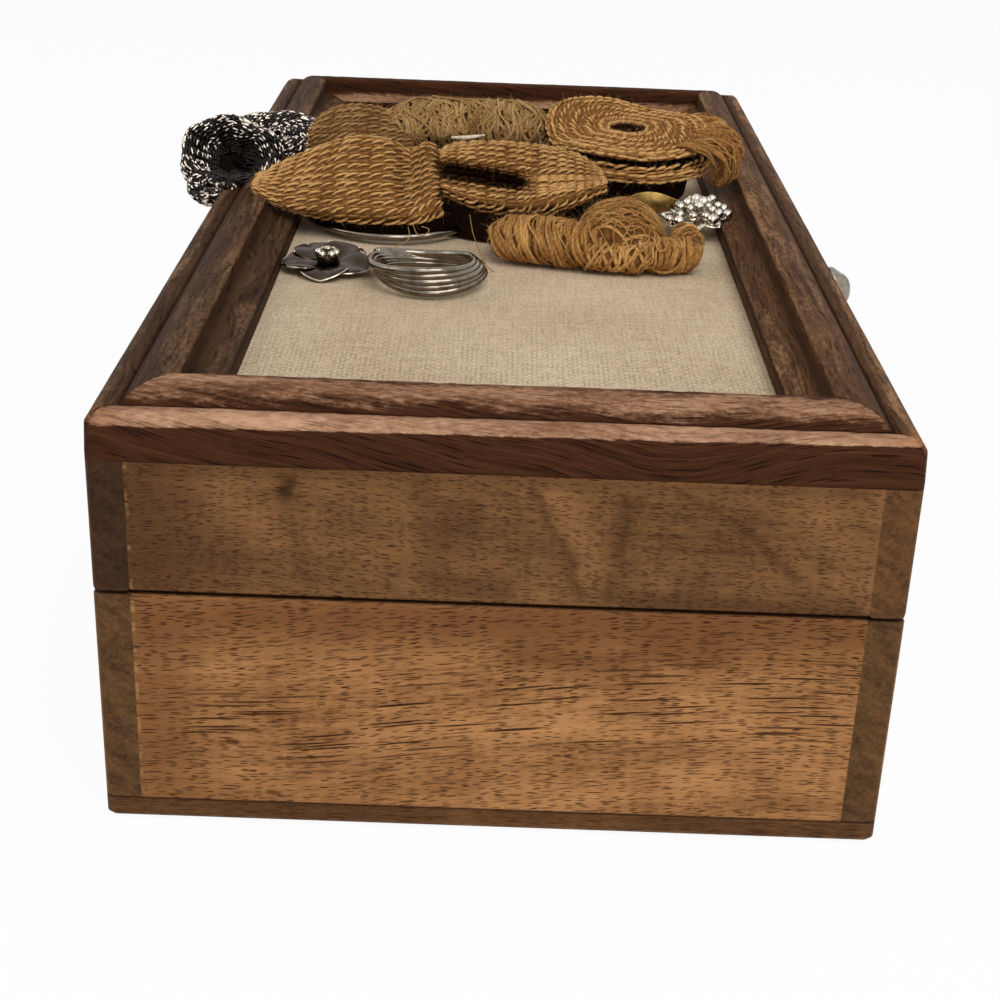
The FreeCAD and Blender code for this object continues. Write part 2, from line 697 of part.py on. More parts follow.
def flower_petal():
    """Plate petal, widest beyond its middle and cupped up towards its tip."""
    half = CHARM_PETAL_WIDTH / 2
    tip = (CHARM_RADIUS, CHARM_PETAL_TIP / 2)
    side = [(0, 0), (CHARM_PETAL_WAIST, half), (CHARM_PETAL_SHOULDER, half), tip]
    outline = [Vec(x, y, 0) for x, y in side] + [Vec(x, -y, 0) for x, y in side[:0:-1]]
    petal = prism(outline, UP * CHARM_THICK)
    petal.rotate(Vec(0, 0, 0), Vec(0, 1, 0), -CHARM_CUP)
    return petal


def flat_charm():
    """Petals in a ring round a disc, before it is set on the linen."""
    disc = prism(flat_ring(Vec(0, 0, 0), CHARM_DISC_RADIUS, DISC_SIDES), UP * 2 * CHARM_THICK)
    petals = []
    for i in range(CHARM_PETAL_COUNT):
        petal = flower_petal()
        petal.rotate(Vec(0, 0, 0), UP, i * FULL_TURN / CHARM_PETAL_COUNT)
        petals.append(petal)
    return disc.multiFuse(petals)


def bead_ring_places(rings, pitch):
    """One bead in the middle, then a ring of six more for each step out."""
    places = [(0, 0)]
    for ring in range(1, rings + 1):
        count = RING_STEP_COUNT * ring
        for i in range(count):
            angle = 2 * math.pi * i / count
            places.append((ring * pitch * math.cos(angle), ring * pitch * math.sin(angle)))
    return places


def flat_charm_beads():
    """Bead cluster cut flat where it sits on the charm's disc."""
    seat = 2 * CHARM_THICK
    height = seat + CHARM_BEAD_RADIUS - CHARM_BEAD_SINK
    places = bead_ring_places(CHARM_BEAD_RING_COUNT, CHARM_BEAD_PITCH)
    beads = [faceted_bead(Vec(x, y, height), CHARM_BEAD_RADIUS) for x, y in places]
    below = cylinder(CHARM_RADIUS, seat, Vec(0, 0, 0), UP)
    return beads[0].multiFuse(beads[1:]).cut(below)


def charm_pieces():
    """The flower charm and its beads, tilted together with the charm's near edge on the linen."""
    flat = [tilted(shape, CHARM_TILT) for shape in (flat_charm(), flat_charm_beads())]
    return set_down(flat, from_hinge_side(*CHARM_PLACE), LINEN_TOP + CLOTH_GAP)


def bead_flower():
    """Disc set with rings of beads, half of each bead standing proud, leaning on the frame's lip."""
    disc = prism(flat_ring(Vec(0, 0, 0), BEAD_FLOWER_DISC, DISC_SIDES), UP * BEAD_FLOWER_DISC_THICK)
    places = bead_ring_places(BEAD_RING_COUNT, BEAD_PITCH)
    beads = [faceted_bead(Vec(x, y, BEAD_FLOWER_DISC_THICK), BEAD_RADIUS) for x, y in places]
    flower = tilted(disc.multiFuse(beads), BEAD_FLOWER_TILT)
    return set_down([flower], from_knob_side(*BEAD_FLOWER_PLACE), LINEN_TOP + BEAD_FLOWER_LIFT)[0]


def gilt_leaf():
    """Thin gold strip arched over the linen."""
    x, y, foot = from_knob_side(*GILT_LEAF_PLACE, CLOTH_GAP)
    half = GILT_LEAF_SPAN / 2
    near = y - GILT_LEAF_WIDTH / 2

    def arch(span, rise):
        feet = [Vec(x + side * span, near, foot) for side in (-1, 1)]
        return Part.Arc(feet[0], Vec(x, near, foot + rise), feet[1]).toShape()

    inner_half = half - GILT_LEAF_THICK
    ends = []
    for side in (-1, 1):
        outer_foot = Vec(x + side * half, near, foot)
        ends.append(Part.makeLine(outer_foot, Vec(x + side * inner_half, near, foot)))
    arches = [arch(half, GILT_LEAF_RISE), arch(inner_half, GILT_LEAF_RISE - GILT_LEAF_THICK)]
    outline = Part.Wire(Part.__sortEdges__(arches + ends))
    return Part.Face(outline).extrude(Vec(0, GILT_LEAF_WIDTH, 0))


# Folded cloth


def cloth_fold(first, last, half_width, rise, fall, nose, tail, tilt, grow=0.0):
    """Faceted form through flattened oval rings from the first point to the last.

    A ring's size follows a parabola: nose and tail at the two ends, and 1 half way.
    """
    along = (last - first).normalize()
    level = UP.cross(along).normalize()
    slope = math.radians(tilt)
    across = level * math.cos(slope) + UP * math.sin(slope)
    lift = along.cross(across)
    first = first - along * grow
    travel = last + along * grow - first
    peak = 2 - (nose + tail) / 2
    rings = []
    for i in range(FOLD_SECTIONS):
        t = i / (FOLD_SECTIONS - 1)
        size = nose * (1 - t) ** 2 + 2 * peak * t * (1 - t) + tail * t ** 2
        middle = first + travel * t
        side = across * (half_width + grow) * size
        upper = ring_points(middle, side, lift * (rise + grow) * size, FOLD_SIDES)
        lower = ring_points(middle, side, lift * (fall + grow) * size, FOLD_SIDES)
        half = FOLD_SIDES // 2
        rings.append(upper[:half] + lower[half:])
    return faceted_solid(rings)


def roll_parts(grow=0.0):
    """The frayed front roll and the hump behind it."""
    roll = cloth_fold(from_hinge_side(*ROLL_START), from_knob_side(*ROLL_END),
                      ROLL_HALF_WIDTH, ROLL_RISE, ROLL_FALL,
                      ROLL_NOSE, ROLL_TAIL, ROLL_TILT, grow)
    hump = cloth_fold(from_knob_side(*HUMP_START), from_knob_side(*HUMP_END),
                      HUMP_HALF_WIDTH, HUMP_RISE, HUMP_FALL,
                      HUMP_NOSE, HUMP_TAIL, HUMP_TILT, grow)
    return roll.fuse(hump)


def leaf_fold(grow=0.0):
    """The pointed leaf on the hinge side."""
    return cloth_fold(from_hinge_side(*LEAF_START), from_hinge_side(*LEAF_END),
                      LEAF_HALF_WIDTH, LEAF_RISE, LEAF_FALL,
                      LEAF_NOSE, LEAF_TAIL, LEAF_TILT, grow)


def pouch_fold(grow=0.0):
    """The doubled fold in the middle, before its slot is cut."""
    return cloth_fold(from_hinge_side(*POUCH_START), from_knob_side(*POUCH_END),
                      POUCH_HALF_WIDTH, POUCH_RISE, POUCH_FALL,
                      POUCH_NOSE, POUCH_TAIL, POUCH_TILT, grow)


def rosette_fold(grow=0.0):
    """The rolled rosette on the knob side, before its eye is cut."""
    return cloth_fold(from_knob_side(*ROSETTE_START), from_knob_side(*ROSETTE_END),
                      ROSETTE_HALF_WIDTH, ROSETTE_RISE, ROSETTE_FALL,
                      ROSETTE_NOSE, ROSETTE_TAIL, ROSETTE_TILT, grow)


def jute_fold(grow=0.0):
    """The roll of loose jute behind the pouch."""
    return cloth_fold(from_hinge_side(*JUTE_START), from_knob_side(*JUTE_END),
                      JUTE_HALF_WIDTH, JUTE_RISE, JUTE_FALL,
                      JUTE_NOSE, JUTE_TAIL, JUTE_TILT, grow)


def back_fold(grow=0.0):
    """The fold behind the leaf."""
    return cloth_fold(from_hinge_side(*BACK_START), from_hinge_side(*BACK_END),
                      BACK_HALF_WIDTH, BACK_RISE, BACK_FALL,
                      BACK_NOSE, BACK_TAIL, BACK_TILT, grow)


def mesh_fold():
    """The bunched wire mesh over the frame's hinge side."""
    return cloth_fold(from_hinge_side(*MESH_START), from_hinge_side(*MESH_END),
                      MESH_HALF_WIDTH, MESH_RISE, MESH_FALL,
                      MESH_NOSE, MESH_TAIL, MESH_TILT)


def pouch_slot():
    """The dark slot between the two layers of the pouch."""
    return cloth_fold(from_hinge_side(*SLOT_START), from_hinge_side(*SLOT_END),
                      SLOT_HALF_WIDTH, SLOT_RISE, SLOT_FALL,
                      SLOT_NOSE, SLOT_TAIL, SLOT_TILT)


def rosette_eye():
    """The hollow in the middle of the rosette."""
    return cloth_fold(from_knob_side(*EYE_START), from_knob_side(*EYE_END),
                      EYE_HALF_WIDTH, EYE_RISE, EYE_FALL,
                      EYE_NOSE, EYE_TAIL, EYE_TILT)


def rail_room(side, top):
    """The room that a long rail takes up to its crown, with the cloth's gap round it."""
    crown = top + CLOTH_GAP
    outer = HALF_WIDTH + CLOTH_GAP
    inner = LIP_X - CLOTH_GAP
    points = [(outer, RAIL_Z), (inner, RAIL_Z), (inner, RAIL_Z + RAIL_FACE + CLOTH_GAP),
              (HALF_WIDTH - CROWN_WIDTH - CLOTH_GAP, crown),
              (HALF_WIDTH - BEAD_WIDTH, crown),
              (outer, RAIL_Z + RAIL_FACE + BEAD_TOP_RISE + CLOTH_GAP)]
    return prism([Vec(side * x, -HALF_LENGTH, z) for x, z in points], Vec(0, BOX_LENGTH, 0))


def wire_room(wire):
    """Block round a wound wire that the cloth stays out of."""
    box = wire.BoundBox
    return block((box.XMin, box.XMax), (box.YMin, box.YMax), (LINEN_TOP, box.ZMax + CLOTH_GAP))


def cloth_pieces(coil, hoop, rail_top):
    """The folded pieces, each cut back to lie just clear of those it rests on."""
    gap = CLOTH_GAP
    rails = [rail_room(-1, rail_top), rail_room(1, rail_top)]
    under = wire_room(hoop)
    return {
        "burlap_roll": roll_parts().cut([wire_room(coil), under]),
        "burlap_leaf": leaf_fold().cut(rails + [under]),
        "burlap_pouch": pouch_fold().cut([under, leaf_fold(gap), roll_parts(gap), pouch_slot()]),
        "burlap_rosette": rosette_fold().cut(rails + [pouch_fold(gap), roll_parts(gap), rosette_eye()]),
        "jute_roll": jute_fold().cut([pouch_fold(gap), rosette_fold(gap), leaf_fold(gap)]),
        "burlap_back_fold": back_fold().cut(rails + [leaf_fold(gap), jute_fold(gap)]),
        "mesh_flower": mesh_fold().cut(rails + [leaf_fold(gap), back_fold(gap)]),
    }


def all_pieces():
    """Every piece of the box by its name."""
    charm, charm_beads = charm_pieces()
    pieces = {"bottom_board": bottom_board()}
    pieces.update(case_walls())
    pieces["bottom_brads"] = brads(bottom_brad_places(), 0, BOTTOM_BRAD_LENGTH)
    for word, centre in zip(("near", "far"), HINGE_CENTRES):
        pieces[word + "_hinge_case_leaf"] = hinge_leaf(-1, centre)
        pieces[word + "_hinge_lid_leaf"] = hinge_leaf(1, centre)
        pieces[word + "_hinge_pin"] = hinge_pin(centre)
    pieces["case_hinge_screws"] = hinge_screws(-1, 0)
    pieces["lid_hinge_screws"] = hinge_screws(1, 0)
    pieces.update(lid_walls())
    pieces.update(frame_rails())
    pieces["panel_card"] = panel_card()
    pieces["linen_cover"] = linen_cover()
    pieces["lid_backing_panel"] = lid_backing()
    pieces["backing_brads"] = brads(backing_brad_places(), backing_z(), BACKING_BRAD_LENGTH)
    pieces["lid_knob"] = lid_knob()
    pieces["knob_washer"] = knob_washer()
    pieces["knob_bolt"] = knob_bolt()
    pieces["wire_coil"] = wound_wire("wire_coil", from_hinge_side(*COIL_PLACE), COIL_RADIUS, COIL_TURNS)
    pieces["wire_hoop"] = wound_wire("wire_hoop", from_hinge_side(*HOOP_PLACE), HOOP_RADIUS, HOOP_TURNS)
    pieces["flower_charm"] = charm
    pieces["charm_beads"] = charm_beads
    pieces["bead_flower"] = bead_flower()
    pieces["gilt_leaf"] = gilt_leaf()
    rail_top = pieces["frame_back_rail"].BoundBox.ZMax
    pieces.update(cloth_pieces(pieces["wire_coil"], pieces["wire_hoop"], rail_top))
    return pieces


os.makedirs("parts", exist_ok=True)
for node, shape in all_pieces().items():
    shape.exportStep("parts/" + node + ".step")
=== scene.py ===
"""Looks of the wooden trinket box: stained wood, moulded rails, linen, and the woven, wound and beaded
ornament glued on the lid. Every place below is in millimetres in the solids' frame: X to the knob side, Y
away, Z up."""
import math

import bpy
import numpy as np
from mathutils import Matrix


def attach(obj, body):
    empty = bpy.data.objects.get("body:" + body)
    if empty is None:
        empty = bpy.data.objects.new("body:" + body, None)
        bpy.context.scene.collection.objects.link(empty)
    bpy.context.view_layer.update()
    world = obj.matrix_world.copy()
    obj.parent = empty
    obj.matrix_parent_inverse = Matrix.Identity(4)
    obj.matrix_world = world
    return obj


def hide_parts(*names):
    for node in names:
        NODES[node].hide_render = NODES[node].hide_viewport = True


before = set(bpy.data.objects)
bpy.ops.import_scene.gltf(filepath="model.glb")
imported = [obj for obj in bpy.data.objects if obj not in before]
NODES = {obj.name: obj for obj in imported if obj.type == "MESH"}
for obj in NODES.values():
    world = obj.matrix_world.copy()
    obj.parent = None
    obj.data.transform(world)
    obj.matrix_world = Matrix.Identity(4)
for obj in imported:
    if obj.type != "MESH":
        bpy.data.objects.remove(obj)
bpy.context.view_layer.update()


def extent(node, axis, side):
    """Lowest (min) or highest (max) place of a solid along an axis, 0 to 2 for X to Z, to a hundredth."""
    points = np.empty(3 * len(NODES[node].data.vertices), np.float32)
    NODES[node].data.vertices.foreach_get("co", points)
    return round(1000 * float(side(points[axis::3])), 2)


BOX_HALF_X, BOX_HALF_Y, BOTTOM_TOP = (extent("bottom_board", axis, max) for axis in range(3))
LINEN_HALF_X, LINEN_HALF_Y, LINEN_TOP = (extent("linen_cover", axis, max) for axis in range(3))
RAIL_FOOT, RAIL_CROWN = (extent("frame_near_rail", 2, side) for side in (min, max))
SEAM = (extent("case_front_wall", 2, max) + extent("lid_front_wall", 2, min)) / 2
UP = np.array([0.0, 0.0, 1.0])


def tint(red, green, blue, share=1.0):
    """Linear colour of a screen colour given in steps of 0 to 255, darkened or lightened by a share."""
    return [(c / 12.92 if c <= 0.04045 else ((c + 0.055) / 1.055) ** 2.4)
            for c in (red * share / 255, green * share / 255, blue * share / 255)] + [1.0]


class Signal:
    """One output socket of a material's tree. Arithmetic on it adds Math nodes to the tree."""

    def __init__(self, tree, socket=None):
        self.tree, self.socket = tree, socket

    def add(self, kind, settings=(), sockets=(), output=0):
        """Adds a node of a kind: its settings first, then the values or links of its sockets."""
        node = self.tree.nodes.new(kind)
        for name, value in dict(settings).items():
            setattr(node, name, value)
        for name, value in dict(sockets).items():
            if isinstance(value, Signal):
                self.tree.links.new(value.socket, node.inputs[name])
            else:
                node.inputs[name].default_value = value
        return Signal(self.tree, node.outputs[output])

    def math(self, operation, *values):
        return self.add("ShaderNodeMath", {"operation": operation}, enumerate(values))

    def __add__(self, other):
        return self.math("ADD", self, other)

    __radd__ = __add__

    def __sub__(self, other):
        return self.math("SUBTRACT", self, other)

    def __rsub__(self, other):
        return self.math("SUBTRACT", other, self)

    def __mul__(self, other):
        return self.math("MULTIPLY", self, other)

    __rmul__ = __mul__

    def __truediv__(self, other):
        return self.math("DIVIDE", self, other)

    def __abs__(self):
        return self.math("ABSOLUTE", self)

    def sine(self):
        return self.math("SINE", self)

    def root(self):
        return self.math("SQRT", self)

    def least(self, other):
        return self.math("MINIMUM", self, other)

    def most(self, other):
        return self.math("MAXIMUM", self, other)

    def clamp(self):
        return self.most(0.0).least(1.0)

    def swing(self, weight):
        """A noise of 0 to 1 as a push either way, of this weight."""
        return (self - 0.5) * weight

    def ease(self, low, high):
        """0 below low, 1 above high, and a smooth step between; low may be the larger."""
        if low > high:
            return 1 - self.ease(high, low)
        return self.add("ShaderNodeMapRange", {"interpolation_type": "SMOOTHSTEP"},
                        {0: self, 1: low, 2: high, 3: 0.0, 4: 1.0})

    def mix(self, start, end, blend="MIX"):
        """Colour from start to end by this factor."""
        return self.add("ShaderNodeMix", {"data_type": "RGBA", "blend_type": blend},
                        {0: self, 6: start, 7: end}, output=2)


class Finish(Signal):
    """A material with one Principled surface, and the patterns that the finishes share."""

    def __init__(self, name, **constants):
        self.material = bpy.data.materials.new(name)
        self.material.use_nodes = True
        super().__init__(self.material.node_tree)
        self.surface = next(n for n in self.tree.nodes if n.type == "BSDF_PRINCIPLED")
        for socket, value in constants.items():
            self.surface.inputs[socket.replace("_", " ")].default_value = value

    def feed(self, **signals):
        for socket, signal in signals.items():
            self.tree.links.new(signal.socket, self.surface.inputs[socket.replace("_", " ")])
        return self.material

    def parts(self, vector):
        return [self.add("ShaderNodeSeparateXYZ", (), {0: vector}, output=i) for i in range(3)]

    def place(self):
        """X, Y and Z of the object's own coordinates, in millimetres."""
        there = self.add("ShaderNodeTexCoord", output="Object")
        return [axis * 1000 for axis in self.parts(there)]

    def cloth_place(self):
        """Distances along and round a piece, from its UV map, in millimetres."""
        return self.parts(self.add("ShaderNodeUVMap", {"uv_map": "UVMap"}))[:2]

    def share(self, name):
        """A number stored on the piece's points."""
        return self.add("ShaderNodeAttribute", {"attribute_name": name}, output="Fac")

    def point(self, x, y, z):
        return self.add("ShaderNodeCombineXYZ", (), {0: x, 1: y, 2: z})

    def cloud(self, x, y, z, detail, rough=0.5):
        return self.add("ShaderNodeTexNoise", (), {"Vector": self.point(x, y, z), "Scale": 1.0,
                                                   "Detail": detail, "Roughness": rough})

    def dashes(self, x, y, keep=1.0):
        """Distance to the nearest of randomly placed points in a plane, one to a cell; keep is the share of
        cells that have one."""
        place = {"Vector": self.point(x, y, 0.0), "Scale": 1.0}
        kind, flat = "ShaderNodeTexVoronoi", {"voronoi_dimensions": "2D"}
        distance = self.add(kind, flat, place, output="Distance")
        if keep == 1.0:
            return distance
        lot = self.parts(self.add(kind, flat, place, output="Color"))[0]
        return distance + lot.math("GREATER_THAN", lot, keep)

    def relief(self, height, depth, strength):
        """Bump from a height in millimetres times depth."""
        return self.add("ShaderNodeBump", (),
                        {"Height": height, "Distance": depth * 0.001, "Strength": strength})

    def near_line(self, x, z, start, end, width):
        """1 on the straight stroke from start to end, fading to 0 at width from it."""
        run, rise = end[0] - start[0], end[1] - start[1]
        dx, dz = x - start[0], z - start[1]
        share = ((dx * run + dz * rise) / (run * run + rise * rise)).clamp()
        off_x, off_z = dx - share * run, dz - share * rise
        return (off_x * off_x + off_z * off_z).root().ease(width, 0.0)


def wood(name, grain, pale, deep, pore, dash=(2.8, 0.36), slit=(8.5, 0.62), rise=0.0, bend=0.0, lines=0.0,
         dense=1.0, end_colour=None, marks=(), worn=(), contrast=1.0):
    """Stained wood as a solid. Pores are short dashes and longer slits along the grain, crowded by noise;
    fibres, streaks and clouds are noise stretched along the grain. rise tips the grain and bend lifts it in
    an S; lines is the height of a band of long dark slits; marks are soft strokes of the deep or the pale
    colour, by start, end, width and weight; worn lists rubbed lines by axis, place, width, colour and
    weight. Joints are dark lines."""
    f = Finish(name, Roughness=0.62, Specular_IOR_Level=0.06)
    x, y, z = f.place()
    along, across = (x, y) if grain == "X" else (y, x)
    sway = f.cloud(along * 0.025, across * 0.03, z * 0.05, 1.0)
    level = z - along * rise - along.ease(-45.0, 28.0) * bend + sway.swing(3.4)
    row = level + across * 0.83
    fibre = f.cloud(along * 0.25, row * 4.5, 1.0, 3.0, 0.7)
    streak = f.cloud(along * 0.045, row * 0.9, 5.0, 3.0, 0.6)
    broad = f.cloud(along * 0.02, row * 0.13, 9.0, 2.0)
    blotch = f.cloud(x * 0.09, y * 0.09, z * 0.11, 4.0, 0.62)
    mottle = f.cloud(x * 1.5, y * 1.5, z * 1.7, 3.0, 0.7)
    crowd = f.cloud(along * 0.28, row * 0.12, 3.0, 2.0).ease(0.3, 0.62)
    short = f.dashes(along / dash[0], row / dash[1], 0.68).ease(0.31, 0.18) * (0.3 + 0.7 * crowd) * dense
    slits = f.dashes(along / slit[0] + 4.2, row / slit[1], 0.7).ease(0.23, 0.12) * (1 - crowd * 0.5)
    pores = short.most(slits)
    if lines:
        band = abs(level - lines).ease(12.0, 4.0)
        pores = pores.most(f.dashes(along / 30.0 + 1.7, row / 0.85, 0.85).ease(0.24, 0.1) * band)
    tone = fibre.swing(0.9) + streak.swing(0.9) + broad.swing(0.9) + blotch.swing(1.1) + mottle.swing(0.6)
    colour = (tone * contrast + 0.5).clamp().mix(tint(*deep), tint(*pale))
    wide_x, wide_z = x + blotch.swing(9.0), z + broad.swing(4.0)
    for start, end, width, weight in marks:
        stroke = f.near_line(wide_x, wide_z, start, end, width) * (0.25 + blotch * 1.1) * abs(weight)
        paint = tint(*(deep if weight > 0 else pale))
        colour = stroke.least(0.85).mix(colour, paint, "MULTIPLY" if weight > 0.9 else "MIX")
    colour = (pores * 0.94).least(1.0).mix(colour, tint(*pore))
    if end_colour:
        limit = BOX_HALF_X if grain == "X" else BOX_HALF_Y
        rings = f.cloud(x * 0.35 + z * 0.5, y * 0.02, z * 0.12 - x * 0.2, 3.0, 0.6)
        ends = abs(along).ease(limit - 0.75, limit - 0.25)
        grey = (rings.swing(1.5) + mottle.swing(1.6) + 0.5).clamp()
        colour = ends.mix(colour, grey.mix(tint(*end_colour, 0.62), tint(*end_colour, 1.16)))
    for axis, at, width, paint, weight in worn:
        scuff = abs({"x": x, "y": y, "z": z}[axis] - at).ease(width, width * 0.3)
        ragged = f.cloud(along * 0.5, across * 0.5, z * 0.9, 3.0).ease(0.45, 0.62)
        colour = (scuff * ragged * weight).mix(colour, tint(*paint))
    joint = abs(z - SEAM).ease(0.5, 0.12).most(abs(z - BOTTOM_TOP).ease(0.3, 0.06) * 0.8)
    colour = (joint * 0.95).mix(colour, tint(24, 10, 6))
    return f.feed(Base_Color=colour, Normal=f.relief(fibre * 0.5 + mottle * 0.4 - pores, 0.12, 0.5))


def rail_wood(name, grain, face, bead, deep, worn, slant=0.0):
    """Moulded rail: streaky dark wood whose ridges, by a share stored on the moulding, turn to paler flecks
    along the grain above a ragged line on the near face, and more so at the corners: partly rubbed, partly
    painted highlight where they face the light. A second stored share is painted shade that darkens the
    quirk beside the bead, the step and the inner arris."""
    f = Finish(name, Roughness=0.6, Specular_IOR_Level=0.03)
    x, y, z = f.place()
    along, across = (x, y) if grain == "X" else (y, x)
    tilt = along * slant * along.ease(52.0, 8.0)
    level = z + tilt + f.cloud(along * 0.03, across * 0.06, z * 0.06, 1.0).swing(7.0)
    row = level + across
    fibre = f.cloud(along * 0.1, row * 3.4, 2.0, 4.0, 0.72)
    streak = f.cloud(along * 0.03, row * 0.9, 6.0, 3.0, 0.65)
    fleck = f.cloud(along * 0.55, across * 1.5, z * 1.5, 4.0, 0.72)
    patch = f.cloud(along * 0.06, across * 0.25, z * 0.25, 2.0)
    slits = f.dashes(along / 14.0, row / 0.9).ease(0.22, 0.06)
    tone = (fibre.swing(1.5) + streak.swing(1.6) + fleck.swing(0.5) + 0.5).clamp()
    colour = tone.mix(tint(*deep), tint(*face))
    rub_and_light_line = RAIL_FOOT + 6.1
    edge = (z - x * 0.0085 + streak.swing(0.7) + fleck.swing(0.4)).ease(rub_and_light_line, rub_and_light_line + 0.25)
    edge = edge.most(y.ease(1.6 - BOX_HALF_Y, 2.4 - BOX_HALF_Y))
    # Paler ridges: partly rubbed wear, partly painted highlight where the moulding faces the light.
    wear_and_highlight = f.share("wear_and_highlight")
    rubbed_and_lit = wear_and_highlight * 1.1 + fleck.swing(0.7) + patch.swing(0.9) + streak.swing(0.8) - 0.3
    rubbed_and_lit = rubbed_and_lit.ease(0.0, 0.45) * edge
    bright = (fleck.swing(2.2) + fibre.swing(1.0) + patch.swing(1.6) + wear_and_highlight * 0.8 - 0.26).clamp()
    colour = (rubbed_and_lit * 0.95).mix(colour, bright.mix(tint(*bead), tint(*worn)))
    # Painted shade: dark lines in the quirk, the step and the inner arris.
    colour = (f.share("groove_shade") * 0.85).least(1.0).mix(colour, tint(30, 16, 9))
    colour = (slits * (1 - rubbed_and_lit * 0.5) * 0.75).mix(colour, tint(*deep, 0.5))
    tip = BOX_HALF_X + BOX_HALF_Y
    corner = (abs(x) + abs(y)).ease(tip - 10.5, tip - 1.5) * (fleck + patch).ease(0.8, 1.15)
    colour = (corner * wear_and_highlight.ease(0.1, 0.5) * edge * 0.6).mix(colour, tint(164, 108, 60))
    return f.feed(Base_Color=colour, Normal=f.relief(fibre * 0.8 + fleck * 0.9 - slits * 0.7, 0.3, 0.7))


def linen_finish():
    """Plain weave: two crossed waves of yarn, thick and thin by noise, with dark pits where four yarns meet;
    the weave and its pits show most at the near end, and painted light makes the near end a little lighter
    than the far end."""
    f = Finish("linen_weave", Roughness=0.9, Specular_IOR_Level=0.08)
    x, y = f.cloth_place()
    near = 1 - f.place()[1].ease(-96.0, -40.0) * 0.8
    pitch = 0.87
    warp = x / pitch + f.cloud(x * 0.25, y * 0.06, 0.0, 1.0).swing(0.7)
    weft = y / pitch + f.cloud(x * 0.06, y * 0.25, 4.0, 1.0).swing(0.7)
    warp_wave, weft_wave = (warp * math.pi).sine(), (weft * math.pi).sine()
    weave = warp_wave * weft_wave * near
    pits = (1 - abs(warp_wave)).most(0.0) * (1 - abs(weft_wave)).most(0.0)
    slub = f.cloud(x * 1.1, y * 0.1, 2.0, 3.0, 0.65) + f.cloud(x * 0.1, y * 1.1, 7.0, 3.0, 0.65) - 1
    patch = f.cloud(x * 0.03, y * 0.03, 3.0, 3.0)
    grain = f.cloud(x * 1.5, y * 1.1, 5.0, 2.0, 0.7)
    hole = pits.ease(0.18, 0.6) * f.cloud(x * 0.4, y * 0.4, 9.0, 2.0).ease(0.35, 0.62) * near
    # near * 0.1 is painted light: the linen brighter at the front than at the far end.
    tone = 0.4 + near * 0.1 + slub * 0.6 + grain.swing(1.3) + weave * 0.14 + patch.swing(0.8)
    colour = tone.clamp().mix(tint(166, 143, 114), tint(224, 203, 175))
    colour = (hole * 0.7).mix(colour, tint(116, 92, 66))
    return f.feed(Base_Color=colour, Normal=f.relief(weave * 0.5 - hole * 1.2 + slub * 0.9, 0.18, 0.8))


def yarn_finish(name, pale, mid, deep, shine=0.18):
    """Spun yarn: slanting twist lines round the strand, each strand with its own shade; painted highlight
    makes it paler where it stands proud, and painted shade almost black deep in a fold."""
    f = Finish(name, Roughness=0.82, Specular_IOR_Level=0.1, Sheen_Weight=shine, Sheen_Roughness=0.5,
               Sheen_Tint=tint(*pale))
    twist = 1.25
    run, turn = f.cloth_place()
    x, y, z = f.place()
    shade, crest = f.share("shade"), f.share("crest")
    ply = ((run / twist + turn) * (2 * math.pi)).sine()
    hair = f.cloud(run * 0.6 + turn * 3.0, turn * 9.0, shade * 40.0, 2.0)
    patch = f.cloud(x * 0.12, y * 0.12, z * 0.12, 2.0)
    # Painted light from the crest: paler on proud yarn, darker where it dips.
    tone = 0.5 + ply * 0.08 + hair.swing(0.7) + shade.swing(0.4) + patch.swing(0.6) + (crest - 0.6) * 0.9
    colour = tone.ease(0.0, 0.55).mix(tint(*deep), tint(*mid))
    colour = tone.ease(0.45, 1.1).mix(colour, tint(*pale))
    # Painted shade: yarn deep in a fold is almost black.
    colour = crest.ease(-0.9, 0.0).mix(tint(16, 9, 5), colour)
    return f.feed(Base_Color=colour, Normal=f.relief(ply * 0.35 + hair * 0.8, 0.16, 0.6))


def backing_finish(name, pale, deep, felt=None):
    """Cloth under the yarns: dark and mottled, which on the burlap pieces is painted shade for their hidden
    faces, skirts, linings and slot; matted to the felt colour where "lit" says that it shows."""
    f = Finish(name, Roughness=0.95, Specular_IOR_Level=0.05)
    x, y, z = f.place()
    tone = f.cloud(x * 0.9, y * 0.9, z * 0.9, 4.0, 0.7)
    colour = tone.ease(0.3, 0.7).mix(tint(*deep), tint(*pale))
    if felt:
        colour = f.share("lit").mix(colour, tone.ease(0.25, 0.75).mix(tint(*felt, 0.66), tint(*felt)))
    return f.feed(Base_Color=colour, Normal=f.relief(tone, 0.5, 0.6))


def thread_finish():
    """Blackened metal thread, almost black, with painted glints: bright silver dashes along each strand
    where it stands proud and out of the cup.
    """
    f = Finish("black_metal_thread", Roughness=0.32, Specular_IOR_Level=0.25)
    run = f.cloth_place()[0]
    # Painted glints: bright dashes where the thread stands proud, none inside the shaded cup.
    painted_glint = f.cloud(run * 0.42, f.share("shade") * 60.0, 1.0, 1.0).ease(0.5, 0.56)
    painted_glint = painted_glint * f.share("crest").ease(0.4, 0.8)
    colour = painted_glint.mix(tint(26, 20, 16), tint(226, 212, 196))
    return f.feed(Base_Color=colour, Metallic=0.25 + painted_glint * 0.6)


def metal_finish(name, colour, rough, dirt, dirt_colour, metal=1.0):
    """Plain metal with faint smears in its roughness, and dirt as a noise patch."""
    f = Finish(name, Metallic=metal)
    x, y, z = f.place()
    smear = f.cloud(x * 0.5, y * 0.5, z * 0.5, 3.0)
    grime = smear.ease(0.45, 0.7) * dirt
    return f.feed(Base_Color=grime.mix(tint(*colour), tint(*dirt_colour)),
                  Roughness=(rough * 0.75 + smear * rough * 0.5).least(1.0))


